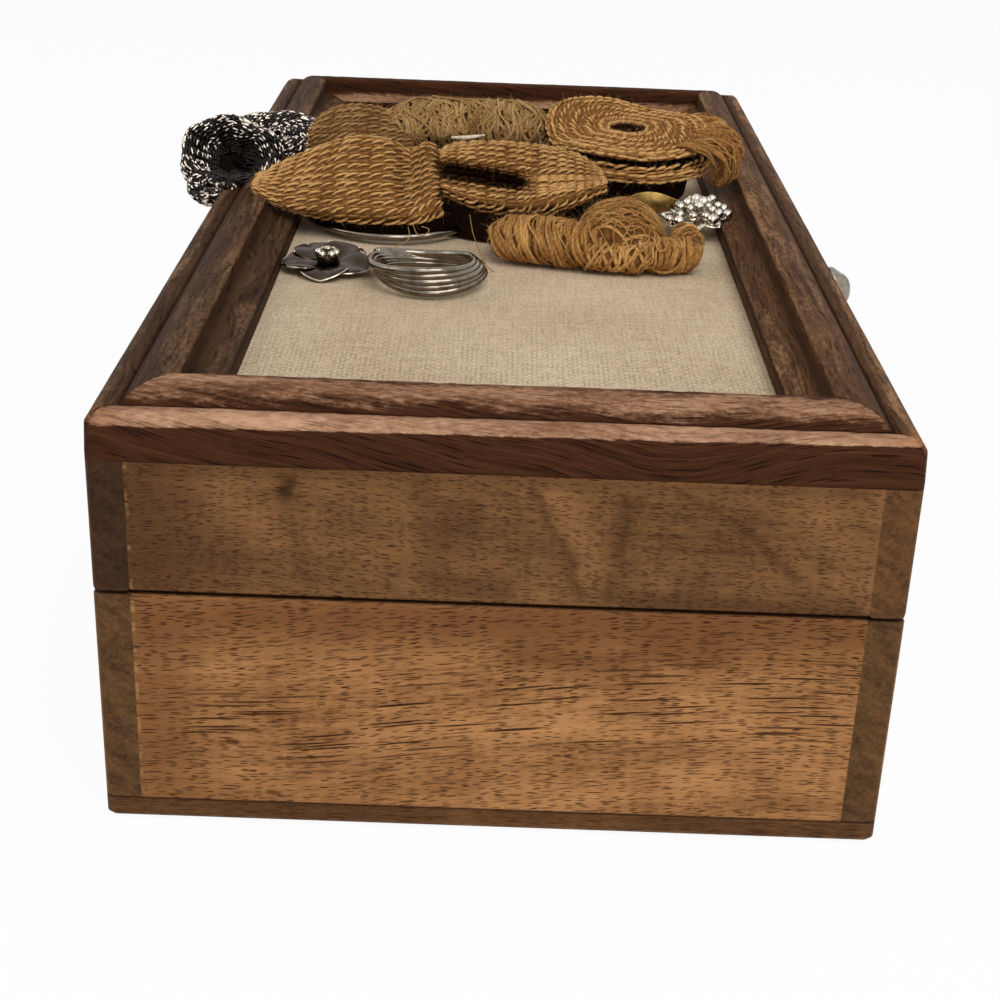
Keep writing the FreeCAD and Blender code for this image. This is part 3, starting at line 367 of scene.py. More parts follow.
def plain_finish(name, pale, deep, rough):
    """Flat colour broken by fine noise."""
    f = Finish(name, Roughness=rough, Specular_IOR_Level=0.2)
    return f.feed(Base_Color=f.cloud(*f.place(), 3.0).ease(0.3, 0.7).mix(tint(*deep), tint(*pale)))


def unit(vectors):
    return vectors / np.maximum(np.linalg.norm(vectors, axis=-1, keepdims=True), 1e-9)


def round_turn(count):
    """Angles of a full turn in equal steps, without the last."""
    return np.arange(count) * (2 * math.pi / count)


def through(points, places, closed=False):
    """Smooth curve through points along their first axis, at places from 0 to 1: on each span the cubic
    whose end slopes are half the chords between the neighbours. Ends mirror their neighbour; a closed curve
    wraps round."""
    points = np.asarray(points, float)
    if closed:
        spans, ring = len(points), np.concatenate([points[-1:], points, points[:2]])
    else:
        spans = len(points) - 1
        ring = np.concatenate([2 * points[:1] - points[1:2], points, 2 * points[-1:] - points[-2:-1]])
    at = np.clip(places, 0, 1) * spans
    first = np.minimum(at.astype(int), spans - 1)
    part = (at - first).reshape((-1,) + (1,) * (points.ndim - 1))
    a, b, c, d = ring[first], ring[first + 1], ring[first + 2], ring[first + 3]
    return b + 0.5 * part * (c - a + part * (2 * a - 5 * b + 4 * c - d + part * (3 * (b - c) + d - a)))


def surface(net, u, v, closed=False):
    """Points (u, v, 3) of the smooth surface through a net: curves through its rows, then through its
    columns."""
    rows = through(net, np.asarray(u, float), closed)
    return through(rows.transpose(1, 0, 2), np.asarray(v, float)).transpose(1, 0, 2)


def outward(net, u, v, closed=False):
    """Unit normals of that surface, from steps of a thousandth along u and along v."""
    step = 1e-3
    u_more, u_less, v_more, v_less = (np.clip(at + by, 0, 1) for at in (u, v) for by in (step, -step))
    across = surface(net, u_more, v, closed) - surface(net, u_less, v, closed)
    along = surface(net, u, v_more, closed) - surface(net, u, v_less, closed)
    return unit(np.cross(across, along))


def grid_faces(rows, columns, wrap_rows=False, wrap_columns=False):
    """Quads of a grid of points numbered row by row."""
    r = np.arange(rows if wrap_rows else rows - 1)[:, None]
    c = np.arange(columns if wrap_columns else columns - 1)[None, :]
    r2, c2 = (r + 1) % rows, (c + 1) % columns
    corners = np.broadcast_arrays(r * columns + c, r2 * columns + c, r2 * columns + c2, r * columns + c2)
    return np.stack(corners, axis=-1).reshape(-1, 4)


def tube_faces(rings, around, flip=False):
    """Quads between the rings of a tube, whose points are numbered ring by ring, and a cap on either end."""
    quads = grid_faces(rings, around, wrap_columns=True)
    caps = np.stack([np.arange(around), (rings - 1) * around + np.arange(around)[::-1]])
    return [quads[:, ::-1], caps[:, ::-1]] if flip else [quads, caps]


def copies(faces, count, size):
    """The same face groups for a number of equal shapes of size points each."""
    first = np.arange(count)[:, None, None] * size
    return [(group[None] + first).reshape(-1, group.shape[1]) for group in faces]


def piece(name, points, faces, slot, finish, nodes=(), uv=None, shares=(), body="lid"):
    """Mesh object from points in millimetres and groups of faces; uv and shares are given per point."""
    points = np.asarray(points, float).reshape(-1, 3) * 0.001
    groups = [np.asarray(g) for g in (faces if isinstance(faces, list) else [faces])]
    corners = np.concatenate([g.reshape(-1) for g in groups])
    sizes = np.concatenate([np.full(len(g), g.shape[1]) for g in groups])
    mesh = bpy.data.meshes.new(name)
    mesh.vertices.add(len(points))
    mesh.vertices.foreach_set("co", points.astype(np.float32).reshape(-1))
    mesh.loops.add(len(corners))
    mesh.loops.foreach_set("vertex_index", corners.astype(np.int32))
    mesh.polygons.add(len(sizes))
    mesh.polygons.foreach_set("loop_start", np.concatenate([[0], np.cumsum(sizes)[:-1]]).astype(np.int32))
    mesh.polygons.foreach_set("use_smooth", np.full(len(sizes), True))
    if uv is not None:
        layer = mesh.uv_layers.new(name="UVMap")
        layer.data.foreach_set("uv", np.asarray(uv, np.float32).reshape(-1, 2)[corners].reshape(-1))
    for key, values in dict(shares).items():
        mesh.attributes.new(key, "FLOAT", "POINT").data.foreach_set(
            "value", np.asarray(values, np.float32).reshape(-1))
    mesh.update(calc_edges=True)
    mesh.materials.append(finish)
    thing = bpy.data.objects.new(name, mesh)
    bpy.context.scene.collection.objects.link(thing)
    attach(thing, body)
    if nodes:
        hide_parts(*nodes)
    return thing


def strands(lines, ups, radius, sides=6, crest=0.6):
    """Round strands along lines (n, k, 3): each ring is a circle across the line, started from its up
    vector. Gives points, face groups with end caps, UV (length along, share round), and per point the
    strand's number and crest, which says how far the strand stands proud there; the finishes take their
    painted highlight and painted shade from it."""
    lines = np.asarray(lines, float)
    n, k = lines.shape[:2]
    radius = np.broadcast_to(np.asarray(radius, float), (n, k))
    way = unit(np.gradient(lines, axis=1))
    side = unit(np.cross(way, np.broadcast_to(ups, lines.shape)))
    over = np.cross(side, way)
    turn = round_turn(sides)
    ring = side[:, :, None] * np.cos(turn)[:, None] + over[:, :, None] * np.sin(turn)[:, None]
    points = lines[:, :, None] + radius[:, :, None, None] * ring
    steps = np.linalg.norm(np.diff(lines, axis=1), axis=-1)
    length = np.concatenate([np.zeros((n, 1)), np.cumsum(steps, axis=1)], axis=1)
    uv = np.stack(np.broadcast_arrays(length[:, :, None], turn / (2 * math.pi)), axis=-1)
    number = np.broadcast_to(np.arange(n)[:, None, None], (n, k, sides))
    proud = np.broadcast_to(np.broadcast_to(crest, (n, k))[:, :, None], (n, k, sides))
    faces = copies(tube_faces(k, sides), n, k * sides)
    return points.reshape(-1, 3), faces, uv.reshape(-1, 2), number.reshape(-1), proud.reshape(-1)


def gather(*bundles):
    """One set of points, faces, UV, strand numbers and crests from several."""
    start, strand, out = 0, 0, ([], [], [], [], [])
    for points, faces, uv, number, proud in bundles:
        out[0].append(points)
        out[1].extend(g + start for g in faces)
        out[2].append(uv)
        out[3].append(number + strand)
        out[4].append(proud)
        start += len(points)
        strand += number.max() + 1
    return np.concatenate(out[0]), out[1], *(np.concatenate(part) for part in out[2:])


def strand_piece(name, bundles, slot, finish, seed, nodes=()):
    """One piece from bundles of strands, each strand with its own random shade."""
    points, faces, uv, number, proud = gather(*bundles)
    shade = np.random.default_rng(seed).random(number.max() + 1)[number]
    return piece(name, points, faces, slot, finish, nodes, uv, {"shade": shade, "crest": proud})


def slow_waves(chance, count, length, size):
    """Random smooth waves (count, length): three sines of random phase along each row."""
    t = np.linspace(0, 2 * math.pi, length)
    phase, pace = chance.random((count, 3, 1)) * 7, chance.uniform(0.7, 3.2, (count, 3, 1))
    return size * np.sin(t * pace + phase).sum(axis=1) / 2


def lookup(net, u, v, closed=False, even=False):
    """Points and unit normals of a net's surface at any places, by linear steps between points of a fine
    grid. With even set, u and v count mean length along the surface instead of the net's own steps."""
    fine = 240
    ticks = np.linspace(0, 1, fine + 1)
    grid = np.concatenate([surface(net, ticks, ticks, closed), outward(net, ticks, ticks, closed)], axis=-1)
    u, v = u % 1.0 if closed else np.clip(u, 0, 1), np.clip(v, 0, 1)
    if even:
        runs = [np.linalg.norm(np.diff(grid[..., :3], axis=k), axis=-1).mean(axis=1 - k) for k in (0, 1)]
        u, v = (np.interp(at, np.concatenate([[0], np.cumsum(run)]) / run.sum(), ticks)
                for at, run in zip((u, v), runs))
    i, j = u * fine, v * fine
    a, b = np.minimum(i.astype(int), fine - 1), np.minimum(j.astype(int), fine - 1)
    p, q = (i - a)[..., None], (j - b)[..., None]
    low = grid[a, b] * (1 - p) + grid[a + 1, b] * p
    high = grid[a, b + 1] * (1 - p) + grid[a + 1, b + 1] * p
    found = low * (1 - q) + high * q
    return found[..., :3], unit(found[..., 3:])


def knit(net, wales, courses, radius, seed, closed=False, reach=(0.0, 1.0), lean=0.08, tall=0.72, splay=0.21,
         ravel=0.1, stand=0.95, lift=0.8, skew=0.0, hidden=None, even=False):
    """Knitted cloth on a net's surface. Each course is one yarn along v, over reach; its loops swing along u
    as a cosine, a sine of double pace splays them, and a cosine of double pace brings their legs forward, so
    that the legs of each course lie over the heads of the one before; skew lifts one leg and lowers the
    other. Courses fill u. hidden gives, for points, how deep in a fold they are; it lowers their crest, so
    that the yarn there gets painted shade."""
    chance = np.random.default_rng(seed)
    points_per_stitch = 11
    steps = wales * points_per_stitch + 1
    stitch = np.linspace(0, wales, steps)
    turn = 2 * math.pi * stitch
    row = (np.arange(courses)[:, None] + 0.5) / courses
    loose = 1 + slow_waves(chance, courses, steps, 0.16)
    lean = lean + slow_waves(chance, courses, steps, 0.1)
    along = stitch + splay * np.sin(2 * turn) - lean * np.cos(turn)
    along = (along + slow_waves(chance, courses, steps, ravel)) / wales
    swing = row - (tall * loose * np.cos(turn) + slow_waves(chance, courses, steps, ravel * 1.6)) / courses
    points, ups = lookup(net, swing, reach[0] + (reach[1] - reach[0]) * along, closed, even)
    proud = (skew * np.sin(turn) - np.cos(2 * turn)) * np.ones_like(swing)
    lines = points + ups * (radius * (stand + lift * proud))[..., None]
    thick = radius * (1 + slow_waves(chance, courses, steps, 0.14) + 0.1 * proud)
    # The crest carries the painted highlight on proud yarn and the painted shade deep in a fold.
    crest = 0.5 + 0.5 * proud - (1.25 * hidden(lines) if hidden else 0.0)
    return strands(lines, ups, thick, crest=crest), lines.reshape(-1, 3), ups.reshape(-1, 3)


def fuzz(points, ups, count, length, seed, thick):
    """Loose hairs: from random points of the yarns a short curve leaves at a slant and bends back over."""
    chance = np.random.default_rng(seed)
    pick = chance.integers(0, len(points), count)
    lean = unit(ups[pick] * chance.uniform(0.3, 1.1, (count, 1)) + chance.normal(0, 0.75, (count, 3)))
    bow = chance.normal(0, 0.45, (count, 3))
    steps = 6
    t = np.linspace(0, 1, steps)[None, :, None]
    size = (length * chance.uniform(0.35, 1.3, (count, 1)))[..., None]
    lines = points[pick][:, None] + size * (lean[:, None] * t + bow[:, None] * t * t)
    lines[..., 2] = np.maximum(lines[..., 2], LINEN_TOP + 0.1)
    return strands(lines, np.array([0.3, 0.2, 0.93]), thick * np.linspace(1.0, 0.5, steps), sides=3)


def cloth(name, node, net, knits, finish, back, seed, hairs, closed=False, lit=(0.0, 1.0), hidden=None):
    """A folded burlap piece: a backing sheet on the net, yarns knitted over it with each of the settings in
    knits, and loose hairs. lit is the stretch of v where the backing's matted face shows, less so where it
    is hidden; elsewhere the backing keeps its dark colour as painted shade."""
    net = np.asarray(net, float)
    u, v = np.linspace(0, 1, 6 * len(net)), np.linspace(0, 1, 6 * net.shape[1])
    if closed:
        u = u[:-1]
    points = surface(net, u, v, closed)
    faces = grid_faces(len(u), len(v), wrap_rows=closed)
    # The felt shows only within lit; the rest of the backing, and the slot deep inside, keep the dark
    # painted shade.
    shows = np.clip((v - lit[0]) / 0.04, 0, 1) * np.clip((lit[1] - v) / 0.04, 0, 1)
    shows = shows * (1 - 0.72 * (hidden(points) if hidden else np.zeros((len(u), 1))))
    base = piece(name, points, faces, "burlap", back, (node,), shares={"lit": shows})
    made = [knit(net, seed=seed + k, closed=closed, hidden=hidden, **settings)
            for k, settings in enumerate(knits)]
    yarns = strand_piece(name + "_yarns", [loops for loops, *_ in made], "burlap", finish, seed)
    lines, ups = (np.concatenate([part[k] for part in made]) for k in (1, 2))
    if hidden:
        open_to_view = hidden(lines) < 0.2
        lines, ups = lines[open_to_view], ups[open_to_view]
    hair = fuzz(lines, ups, hairs, 1.3, seed + 50, 0.03)
    loose = strand_piece(name + "_hairs", [hair], "burlap", HAIR, seed)


HAIR = yarn_finish("loose_hair", (206, 170, 122), (168, 126, 78), (112, 75, 39), shine=0.4)
STRAW = plain_finish("pale_straw", (236, 220, 194), (206, 184, 150), 0.6)
BURLAP = yarn_finish("burlap_yarn", (206, 160, 101), (152, 106, 56), (82, 47, 19))
BURLAP_DULL = yarn_finish("burlap_yarn_dull", (166, 128, 82), (126, 90, 52), (76, 49, 24))
BURLAP_GOLD = yarn_finish("burlap_fray", (198, 151, 90), (144, 99, 50), (80, 47, 19), shine=0.3)
# Burlap backings: the two dark colours are painted shade for hidden faces, skirts, linings and slot; the
# third is the felt where it shows.
BURLAP_FELT = backing_finish("burlap_felt", (34, 19, 9), (16, 9, 5), (136, 93, 48))
LEAF_FELT = backing_finish("leaf_felt", (34, 19, 9), (16, 9, 5), (142, 99, 54))
ROLL_FELT = backing_finish("roll_felt", (124, 84, 44), (72, 45, 21))
JUTE = yarn_finish("jute_strand", (206, 174, 124), (152, 116, 70), (88, 60, 33), shine=0.3)
JUTE_BACK = backing_finish("jute_core", (104, 78, 48), (62, 44, 26))
THREAD = thread_finish()
MESH_BACK = backing_finish("mesh_ground", (24, 18, 15), (10, 8, 7))
WIRE = metal_finish("dark_polished_wire", (126, 117, 105), 0.13, 0.5, (60, 52, 44))
CHARM = metal_finish("gunmetal_charm", (64, 51, 38), 0.24, 0.6, (30, 23, 16))
# Bright metal for the charm's rims and beads: partly the worn, polished edges of the casting, partly painted
# highlight along the rims.
RIM = metal_finish("worn_rim_and_highlight", (196, 186, 170), 0.12, 0.8, (60, 52, 44))
SILVER = metal_finish("bright_silver", (206, 198, 184), 0.12, 0.8, (96, 86, 74))
GILT = metal_finish("olive_gilt", (158, 126, 66), 0.42, 0.7, (96, 74, 36), 0.75)
KNOB = metal_finish("antique_knob", (150, 141, 128), 0.36, 0.5, (70, 60, 50))
BRASS = metal_finish("aged_brass", (170, 134, 74), 0.38, 0.6, (84, 62, 30))
STEEL = metal_finish("plain_steel", (160, 158, 154), 0.35, 0.4, (92, 88, 82))

# Strokes on the ends' wood: start and end in X and Z, width, and weight, below zero for a pale one
LID_MARKS = (((-32.5, 60.0), (-32.3, 61.2), 2.6, 1.0), ((-32.5, 60.0), (-30.5, 46.0), 3.0, 0.4),
             ((5.0, 61.5), (13.0, 44.0), 1.7, 0.85), ((18.8, 61.0), (16.6, 44.0), 2.2, 0.8),
             ((9.0, 60.5), (14.5, 49.0), 5.0, -0.7), ((26.0, 62.5), (36.0, 55.5), 1.6, 0.85),
             ((36.0, 55.5), (46.0, 48.5), 1.5, 0.7), ((-8.0, 57.0), (-6.0, 57.5), 4.4, 0.7),
             ((-12.0, 62.0), (-10.0, 50.0), 4.2, 0.5), ((-56.0, 63.5), (56.0, 63.5), 2.5, 0.5),
             ((-10.0, 46.0), (2.0, 45.0), 4.5, 0.6), ((20.0, 43.0), (56.0, 42.6), 3.2, 0.8),
             ((47.0, 60.5), (57.0, 50.0), 6.0, -0.5), ((-57.0, 62.0), (-53.0, 44.0), 17.0, 0.9))
CASE_MARKS = (((4.0, 33.0), (20.0, 32.0), 5.6, 0.9), ((24.0, 35.5), (34.0, 36.0), 6.0, 0.9),
              ((-40.0, 39.6), (-24.0, 38.0), 4.6, 0.8), ((-24.0, 39.8), (56.0, 39.8), 5.4, 0.85),
              ((-42.0, 15.0), (-40.6, 14.6), 1.0, 1.0), ((-37.0, 5.5), (-36.0, 5.2), 1.0, 1.0),
              ((20.0, 14.0), (20.0, 5.0), 2.0, 0.45), ((-5.0, 17.0), (-4.0, 5.0), 2.4, 0.4),
              ((30.0, 12.0), (56.0, 18.0), 10.0, -0.4), ((-20.0, 16.0), (14.0, 22.0), 5.0, -0.35),
              ((-50.0, 9.0), (20.0, 8.0), 6.0, -0.3), ((-57.0, 38.0), (57.0, 39.0), 10.0, 0.88),
              ((-56.0, 34.0), (-54.0, 8.0), 17.0, 0.85))
END_JOINT = -57.3
CASE_END = wood("case_end_wood", "X", (184, 132, 83), (112, 72, 40), (46, 21, 8), rise=0.045, bend=5.0,
                lines=19.0, marks=CASE_MARKS, worn=(("x", END_JOINT, 0.5, (196, 154, 104), 0.3),))
CASE_LONG = wood("case_long_wood", "Y", (158, 112, 66), (94, 62, 34), (56, 31, 14), rise=0.01,
                 end_colour=(94, 66, 40))
LID_END = wood("lid_end_wood", "X", (139, 98, 60), (76, 49, 28), (44, 23, 10), (1.8, 0.36), (4.5, 0.6),
               rise=-0.02, bend=-2.0, dense=0.8, marks=LID_MARKS,
               worn=(("x", END_JOINT, 0.5, (170, 130, 86), 0.4),), contrast=0.85)
LID_HINGE_SIDE = wood("lid_hinge_side_wood", "Y", (116, 82, 50), (70, 46, 27), (48, 28, 14), rise=0.01,
                      end_colour=(65, 43, 28))
LID_KNOB_SIDE = wood("lid_knob_side_wood", "Y", (122, 88, 54), (74, 50, 29), (50, 29, 14), rise=0.01,
                     end_colour=(101, 68, 40))
BOTTOM = wood("bottom_wood", "X", (112, 76, 45), (60, 38, 21), (44, 25, 12), dense=0.6,
              end_colour=(86, 60, 38), worn=(("z", 0.4, 0.9, (150, 108, 70), 0.35),))
RAIL_SHORT = rail_wood("near_rail_wood", "X", (86, 51, 31), (122, 84, 60), (36, 18, 9), (198, 155, 123),
                       slant=0.24)
# The hinge-side rail's colours are darker copies of the knob-side rail's: painted shade on the hinge side of
# the lid, painted light on the knob side.
RAIL_HINGE = rail_wood("hinge_rail_wood", "Y", (82, 55, 36), (88, 63, 43), (34, 20, 11), (144, 111, 80))
RAIL_KNOB = rail_wood("knob_rail_wood", "Y", (104, 70, 44), (110, 78, 51), (42, 26, 14), (170, 130, 92))
LINEN = linen_finish()
CARD = plain_finish("card_board", (188, 168, 138), (160, 138, 108), 0.9)
PLY = wood("backing_ply_wood", "Y", (196, 158, 112), (160, 120, 78), (112, 76, 44), dense=0.4, contrast=0.7)

KEPT_SOLIDS = ((BOTTOM, "bottom_board"), (CASE_LONG, "case_front_wall case_back_wall"),
               (CASE_END, "case_near_end case_far_end"), (LID_KNOB_SIDE, "lid_front_wall"),
               (LID_HINGE_SIDE, "lid_back_wall"), (LID_END, "lid_near_end lid_far_end"),
               (CARD, "panel_card"), (PLY, "lid_backing_panel"),
               (STEEL, "knob_washer knob_bolt bottom_brads backing_brads"),
               (BRASS, "case_hinge_screws lid_hinge_screws near_hinge_case_leaf far_hinge_case_leaf"),
               (BRASS, "near_hinge_lid_leaf far_hinge_lid_leaf near_hinge_pin far_hinge_pin"))
for finish, nodes in KEPT_SOLIDS:
    for node in nodes.split():
        for held in NODES[node].material_slots:
            held.material = finish

# Moulding's profile: depth in, height up, and how worn the near, the long and the far rails are there, which
# also sets their paler paint: partly rubbed wear, partly painted highlight, as on the far rail's inner slope
# that catches the light
RAIL_STEPS = np.array([
    (0.0, 0.0, 0, 0, 0), (0.0, 3.0, 0, 0, 0), (0.0, 5.4, 0.25, 0.1, 0.1), (0.35, 6.15, 1.0, 0.4, 0.5),
    (1.1, 7.2, 1.0, 0.45, 0.5), (2.2, 7.75, 0.95, 0.5, 0.5), (3.4, 7.75, 0.85, 0.3, 0.4),
    (4.3, 7.45, 0.35, 0.1, 0.1), (4.75, 7.0, 0, 0, 0), (5.1, 7.5, 0.15, 0.1, 0.1),
    (5.8, 8.35, 0.35, 0.2, 0.2), (6.8, 9.2, 0.55, 0.3, 0.3), (8.0, 9.8, 0.74, 0.35, 0.3),
    (9.6, 10.2, 0.7, 0.4, 0.2), (11.4, 10.22, 0.5, 0.5, 0.1), (12.5, 9.9, 0.4, 0.6, 0.1),
    (12.8, 9.1, 0.2, 0.2, 0), (13.05, 7.8, 0.1, 0, 0), (13.9, 6.65, 0.1, 0.1, 0.5),
    (15.3, 6.2, 0.3, 0.3, 0.8), (18.1, 5.4, 0.4, 0.4, 0.85), (18.4, 5.1, 0.2, 0.2, 0.1),
    (18.4, 2.0, 0, 0, 0.3)])
NEAR_WEAR_AND_LIGHT, LONG_WEAR_AND_LIGHT, FAR_WEAR_AND_LIGHT = 2, 3, 4
REBATE = ((12.4, 2.0), (12.4, 0.0))
# Painted shade above the rail's side, dark lines where shade falls: depth in, half width and weight of the
# quirk, the step and the arris
DARK_LINES, SIDE_TOP = ((4.75, 0.22, 1.0), (13.2, 0.35, 0.6), (18.4, 0.2, 0.8)), 4.4
FOOT_CORNER, CORNER = 1.6, 2.8
STRAIGHT = 0.97


def rail(side, finish, seed, worn):
    """One mitred rail: the moulding's profile, given as depth in from the outer face and height, is carried
    along the side. A profile point ends on the mitre; outside the corner round it turns along a concentric
    arc. Worn ridges, by the table's column worn, are lower, wavy and nicked; that column is also stored on
    the points for the paler paint, partly rubbing and partly painted highlight, beside the painted shade of
    the dark lines."""
    chance = np.random.default_rng(seed)
    short = side in ("near", "far")
    half, outer, steps = (BOX_HALF_X, BOX_HALF_Y, 150) if short else (BOX_HALF_Y, BOX_HALF_X, 300)
    share = np.linspace(0, 1, 5 * len(RAIL_STEPS))
    profile, wear_and_highlight = through(RAIL_STEPS[:, :2], share), through(RAIL_STEPS[:, worn], share)
    # Painted shade along the quirk, the step and the inner arris, kept above the side's top.
    groove_shade = sum(weight * np.exp(-((profile[:, 0] - at) / width) ** 2) * (profile[:, 1] > SIDE_TOP)
                 for at, width, weight in DARK_LINES)
    profile = np.concatenate([profile, REBATE])
    wear_and_highlight, groove_shade = np.append(wear_and_highlight, [0, 0]), np.append(groove_shade, [0, 0])
    t = np.linspace(-1, 1, steps)[:, None]
    wave = slow_waves(chance, 1, steps, 0.12)[0][:, None] + slow_waves(chance, 1, steps, 0.1)[0][:, None]
    nicks, uneven, sunk = 61, 0.55, 0.18
    nick = np.interp((t[:, 0] + 1) / 2, np.linspace(0, 1, nicks), chance.normal(0, 0.17, nicks))[:, None]
    rubbed = np.clip(wear_and_highlight, 0, 1)
    height = profile[:, 1] + (wave + nick) * rubbed * uneven - sunk * rubbed
    depth = np.maximum(profile[:, 0], 0) + 0 * t
    turn = np.clip((np.abs(t) - STRAIGHT) / (1 - STRAIGHT), 0, 1) * (math.pi / 4)
    corner = np.interp(profile[:, 1], [1.0, 6.0], [FOOT_CORNER, CORNER])
    arc = np.maximum(corner - depth, 0)
    straight = np.clip(t / STRAIGHT, -1, 1) * (half - np.maximum(depth, corner))
    along = straight + np.sign(t) * arc * np.sin(turn)
    inset = np.where(depth < corner, corner - arc * np.cos(turn), depth)
    edge = (outer - inset) * (1 if side in ("far", "front") else -1)
    z = np.minimum(RAIL_FOOT + height, RAIL_CROWN - 0.01)
    points = np.stack([along, edge, z] if short else [edge, along, z], axis=-1)
    spread = np.ones((steps, 1))
    piece(side + "_rail_moulding", points, tube_faces(steps, len(profile), side in ("far", "back")),
          "frame_wood", finish, ("frame_%s_rail" % side,),
          shares={"wear_and_highlight": spread * wear_and_highlight, "groove_shade": spread * groove_shade})


rail("near", RAIL_SHORT, 3, NEAR_WEAR_AND_LIGHT)
rail("far", RAIL_SHORT, 4, FAR_WEAR_AND_LIGHT)
rail("front", RAIL_KNOB, 5, LONG_WEAR_AND_LIGHT)
rail("back", RAIL_HINGE, 6, LONG_WEAR_AND_LIGHT)


def linen_cloth():
    """Linen over the card: a flat grid with faint ripples, whose rim turns straight down at the card's
    edge."""
    fall, rows, columns = 1.8, 150, 320
    a = np.linspace(-LINEN_HALF_X - fall, LINEN_HALF_X + fall, rows)[:, None]
    b = np.linspace(-LINEN_HALF_Y - fall, LINEN_HALF_Y + fall, columns)[None, :]
    x = np.clip(a, -LINEN_HALF_X, LINEN_HALF_X) + 0 * b
    y = np.clip(b, -LINEN_HALF_Y, LINEN_HALF_Y) + 0 * a
    drop = np.maximum(np.abs(a) - LINEN_HALF_X, 0) + np.maximum(np.abs(b) - LINEN_HALF_Y, 0)
    ripple = 0.035 * np.sin(a * 0.21 + 1) * np.sin(b * 0.16) - 0.05
    z = LINEN_TOP + ripple - np.minimum(drop, fall)
    sheet = piece("linen_cloth", np.stack([x, y, z], axis=-1), grid_faces(rows, columns), "linen", LINEN,
                  ("linen_cover",), uv=np.stack(np.broadcast_arrays(a, b), axis=-1))


linen_cloth()


def pull_knob():
    """Turned pull: a profile of distance out from the wall and radius, smoothed, carried round the X
    axis."""
    steps = [(0, 3.4), (0.35, 3.4), (0.8, 3.25), (0.9, 2.1), (1.6, 1.9), (3.3, 1.95), (4.4, 2.5), (5.8, 4.2),
             (6.4, 4.85), (7.2, 4.9), (7.7, 4.6), (9.0, 3.75), (9.7, 3.4), (10.5, 2.7), (11.0, 1.7),
             (11.1, 0.6)]
    height, around = 55.4, 40
    shape = through(steps, np.linspace(0, 1, 7 * len(steps)))
    turn = round_turn(around)
    r = np.maximum(shape[:, 1:], 0.01)
    points = np.stack([shape[:, :1] + 0 * turn, r * np.cos(turn), r * np.sin(turn)], axis=-1)
    piece("pull_knob", points + [BOX_HALF_X, 0.0, height], tube_faces(len(shape), around, flip=True),
          "knob_metal", KNOB, ("lid_knob",))


pull_knob()


def wound_wire(name, node, centre, radius, turns, heights, seed, slide=0.0):
    """Wire wound round a ring: a helix whose height goes, turn by turn, between given heights at the front,
    the sides and the back, eased by the square of the sine, with a radius that wavers a little and a centre
    that slides along X."""
    start, wire = math.radians(60.0), 0.75
    steps = int(turns * 72)
    t = np.linspace(0, 1, steps)
    chance = np.random.default_rng(seed)
    angle = start + t * turns * 2 * math.pi
    front, sides, back = (low + (high - low) * t for low, high in heights)
    toward = np.sin(angle) ** 2
    z = LINEN_TOP + sides + (np.where(np.sin(angle) < 0, front, back) - sides) * toward
    r = radius + slow_waves(chance, 1, steps, 0.16)[0]
    x = centre[0] + slide * t * t + r * np.cos(angle)
    line = np.stack([x, centre[1] + r * np.sin(angle), z], axis=-1)
    strand_piece(name, [strands(line[None], UP, wire, sides=14)], "dark_wire", WIRE, seed, (node,))


wound_wire("ring_coil", "wire_coil", (-15.0, -40.1), 10.2, 5.25, ((0.8, 6.4), (2.2, 5.2), (1.0, 3.2)), 11,
           slide=-2.4)
wound_wire("ring_hoop", "wire_hoop", (-25.0, 3.5), 18.6, 1.25, ((1.6, 1.9), (1.2, 3.4), (1.2, 3.4)), 12)


def balls(centres, radius, around=14, rings=8):
    """Round beads: rows of latitude from pole to pole, closed by small end rings, at each centre."""
    centres = np.asarray(centres, float)
    lat = np.linspace(-math.pi / 2 + 0.12, math.pi / 2 - 0.12, rings)[:, None]
    turn = round_turn(around)
    level = np.cos(lat)
    shape = np.stack(np.broadcast_arrays(level * np.cos(turn), level * np.sin(turn), np.sin(lat)), axis=-1)
    radius = np.broadcast_to(np.asarray(radius, float), (len(centres),))
    points = centres[:, None, None] + radius[:, None, None, None] * shape
    return points.reshape(-1, 3), copies(tube_faces(rings, around, flip=True), len(centres), rings * around)


PETAL_ROWS, PETAL_ROUND = 22, 20


def petals(centre, count, length, width, thick, cup, tilt, first, base=1.6):
    """Flat petals: an oval section carried outwards, its half width a rounded spade, rising with the cup and
    bent down at the rim; each petal is tipped a little about its own axis so that its edge lies over the
    next."""
    u = np.linspace(0, 1, PETAL_ROWS)
    v = np.linspace(0, 2 * math.pi, PETAL_ROUND + 1)[:-1]
    half = 0.18 + width / 2 * np.sin(math.pi * u ** 0.8 * 0.93 + 0.2) ** 0.62
    half[-1], half[0] = 0.25, 0.5
    out = (base + (length - base) * u)[:, None]
    arch = np.sin(math.pi * u)[:, None]
    side = half[:, None] * np.cos(v)
    up = math.tan(math.radians(cup)) * out + 0.55 * arch
    up = up + thick * (0.55 + 0.45 * arch) * np.sin(v) * (0.4 + 1.3 * np.cos(v) ** 2)
    up = up + 0.07 * side + 0.012 * side ** 2 - 0.22 * np.exp(-(side / 0.4) ** 2)
    turn = (math.radians(first) + round_turn(count))[:, None, None]
    x, y = out * np.cos(turn) - side * np.sin(turn), out * np.sin(turn) + side * np.cos(turn)
    cos, sin = math.cos(math.radians(tilt)), math.sin(math.radians(tilt))
    points = np.stack([x, y * cos - up * sin, y * sin + up * cos], axis=-1) + np.asarray(centre)
    faces = tube_faces(PETAL_ROWS, PETAL_ROUND, flip=True)
    return points.reshape(-1, 3), copies(faces, count, PETAL_ROWS * PETAL_ROUND)


def join(*shapes):
    """One shape from several pairs of points and face groups."""
    starts = np.cumsum([0] + [len(p) for p, _ in shapes])
    return np.concatenate([p for p, _ in shapes]), [g + s for (_, gs), s in zip(shapes, starts) for g in gs]


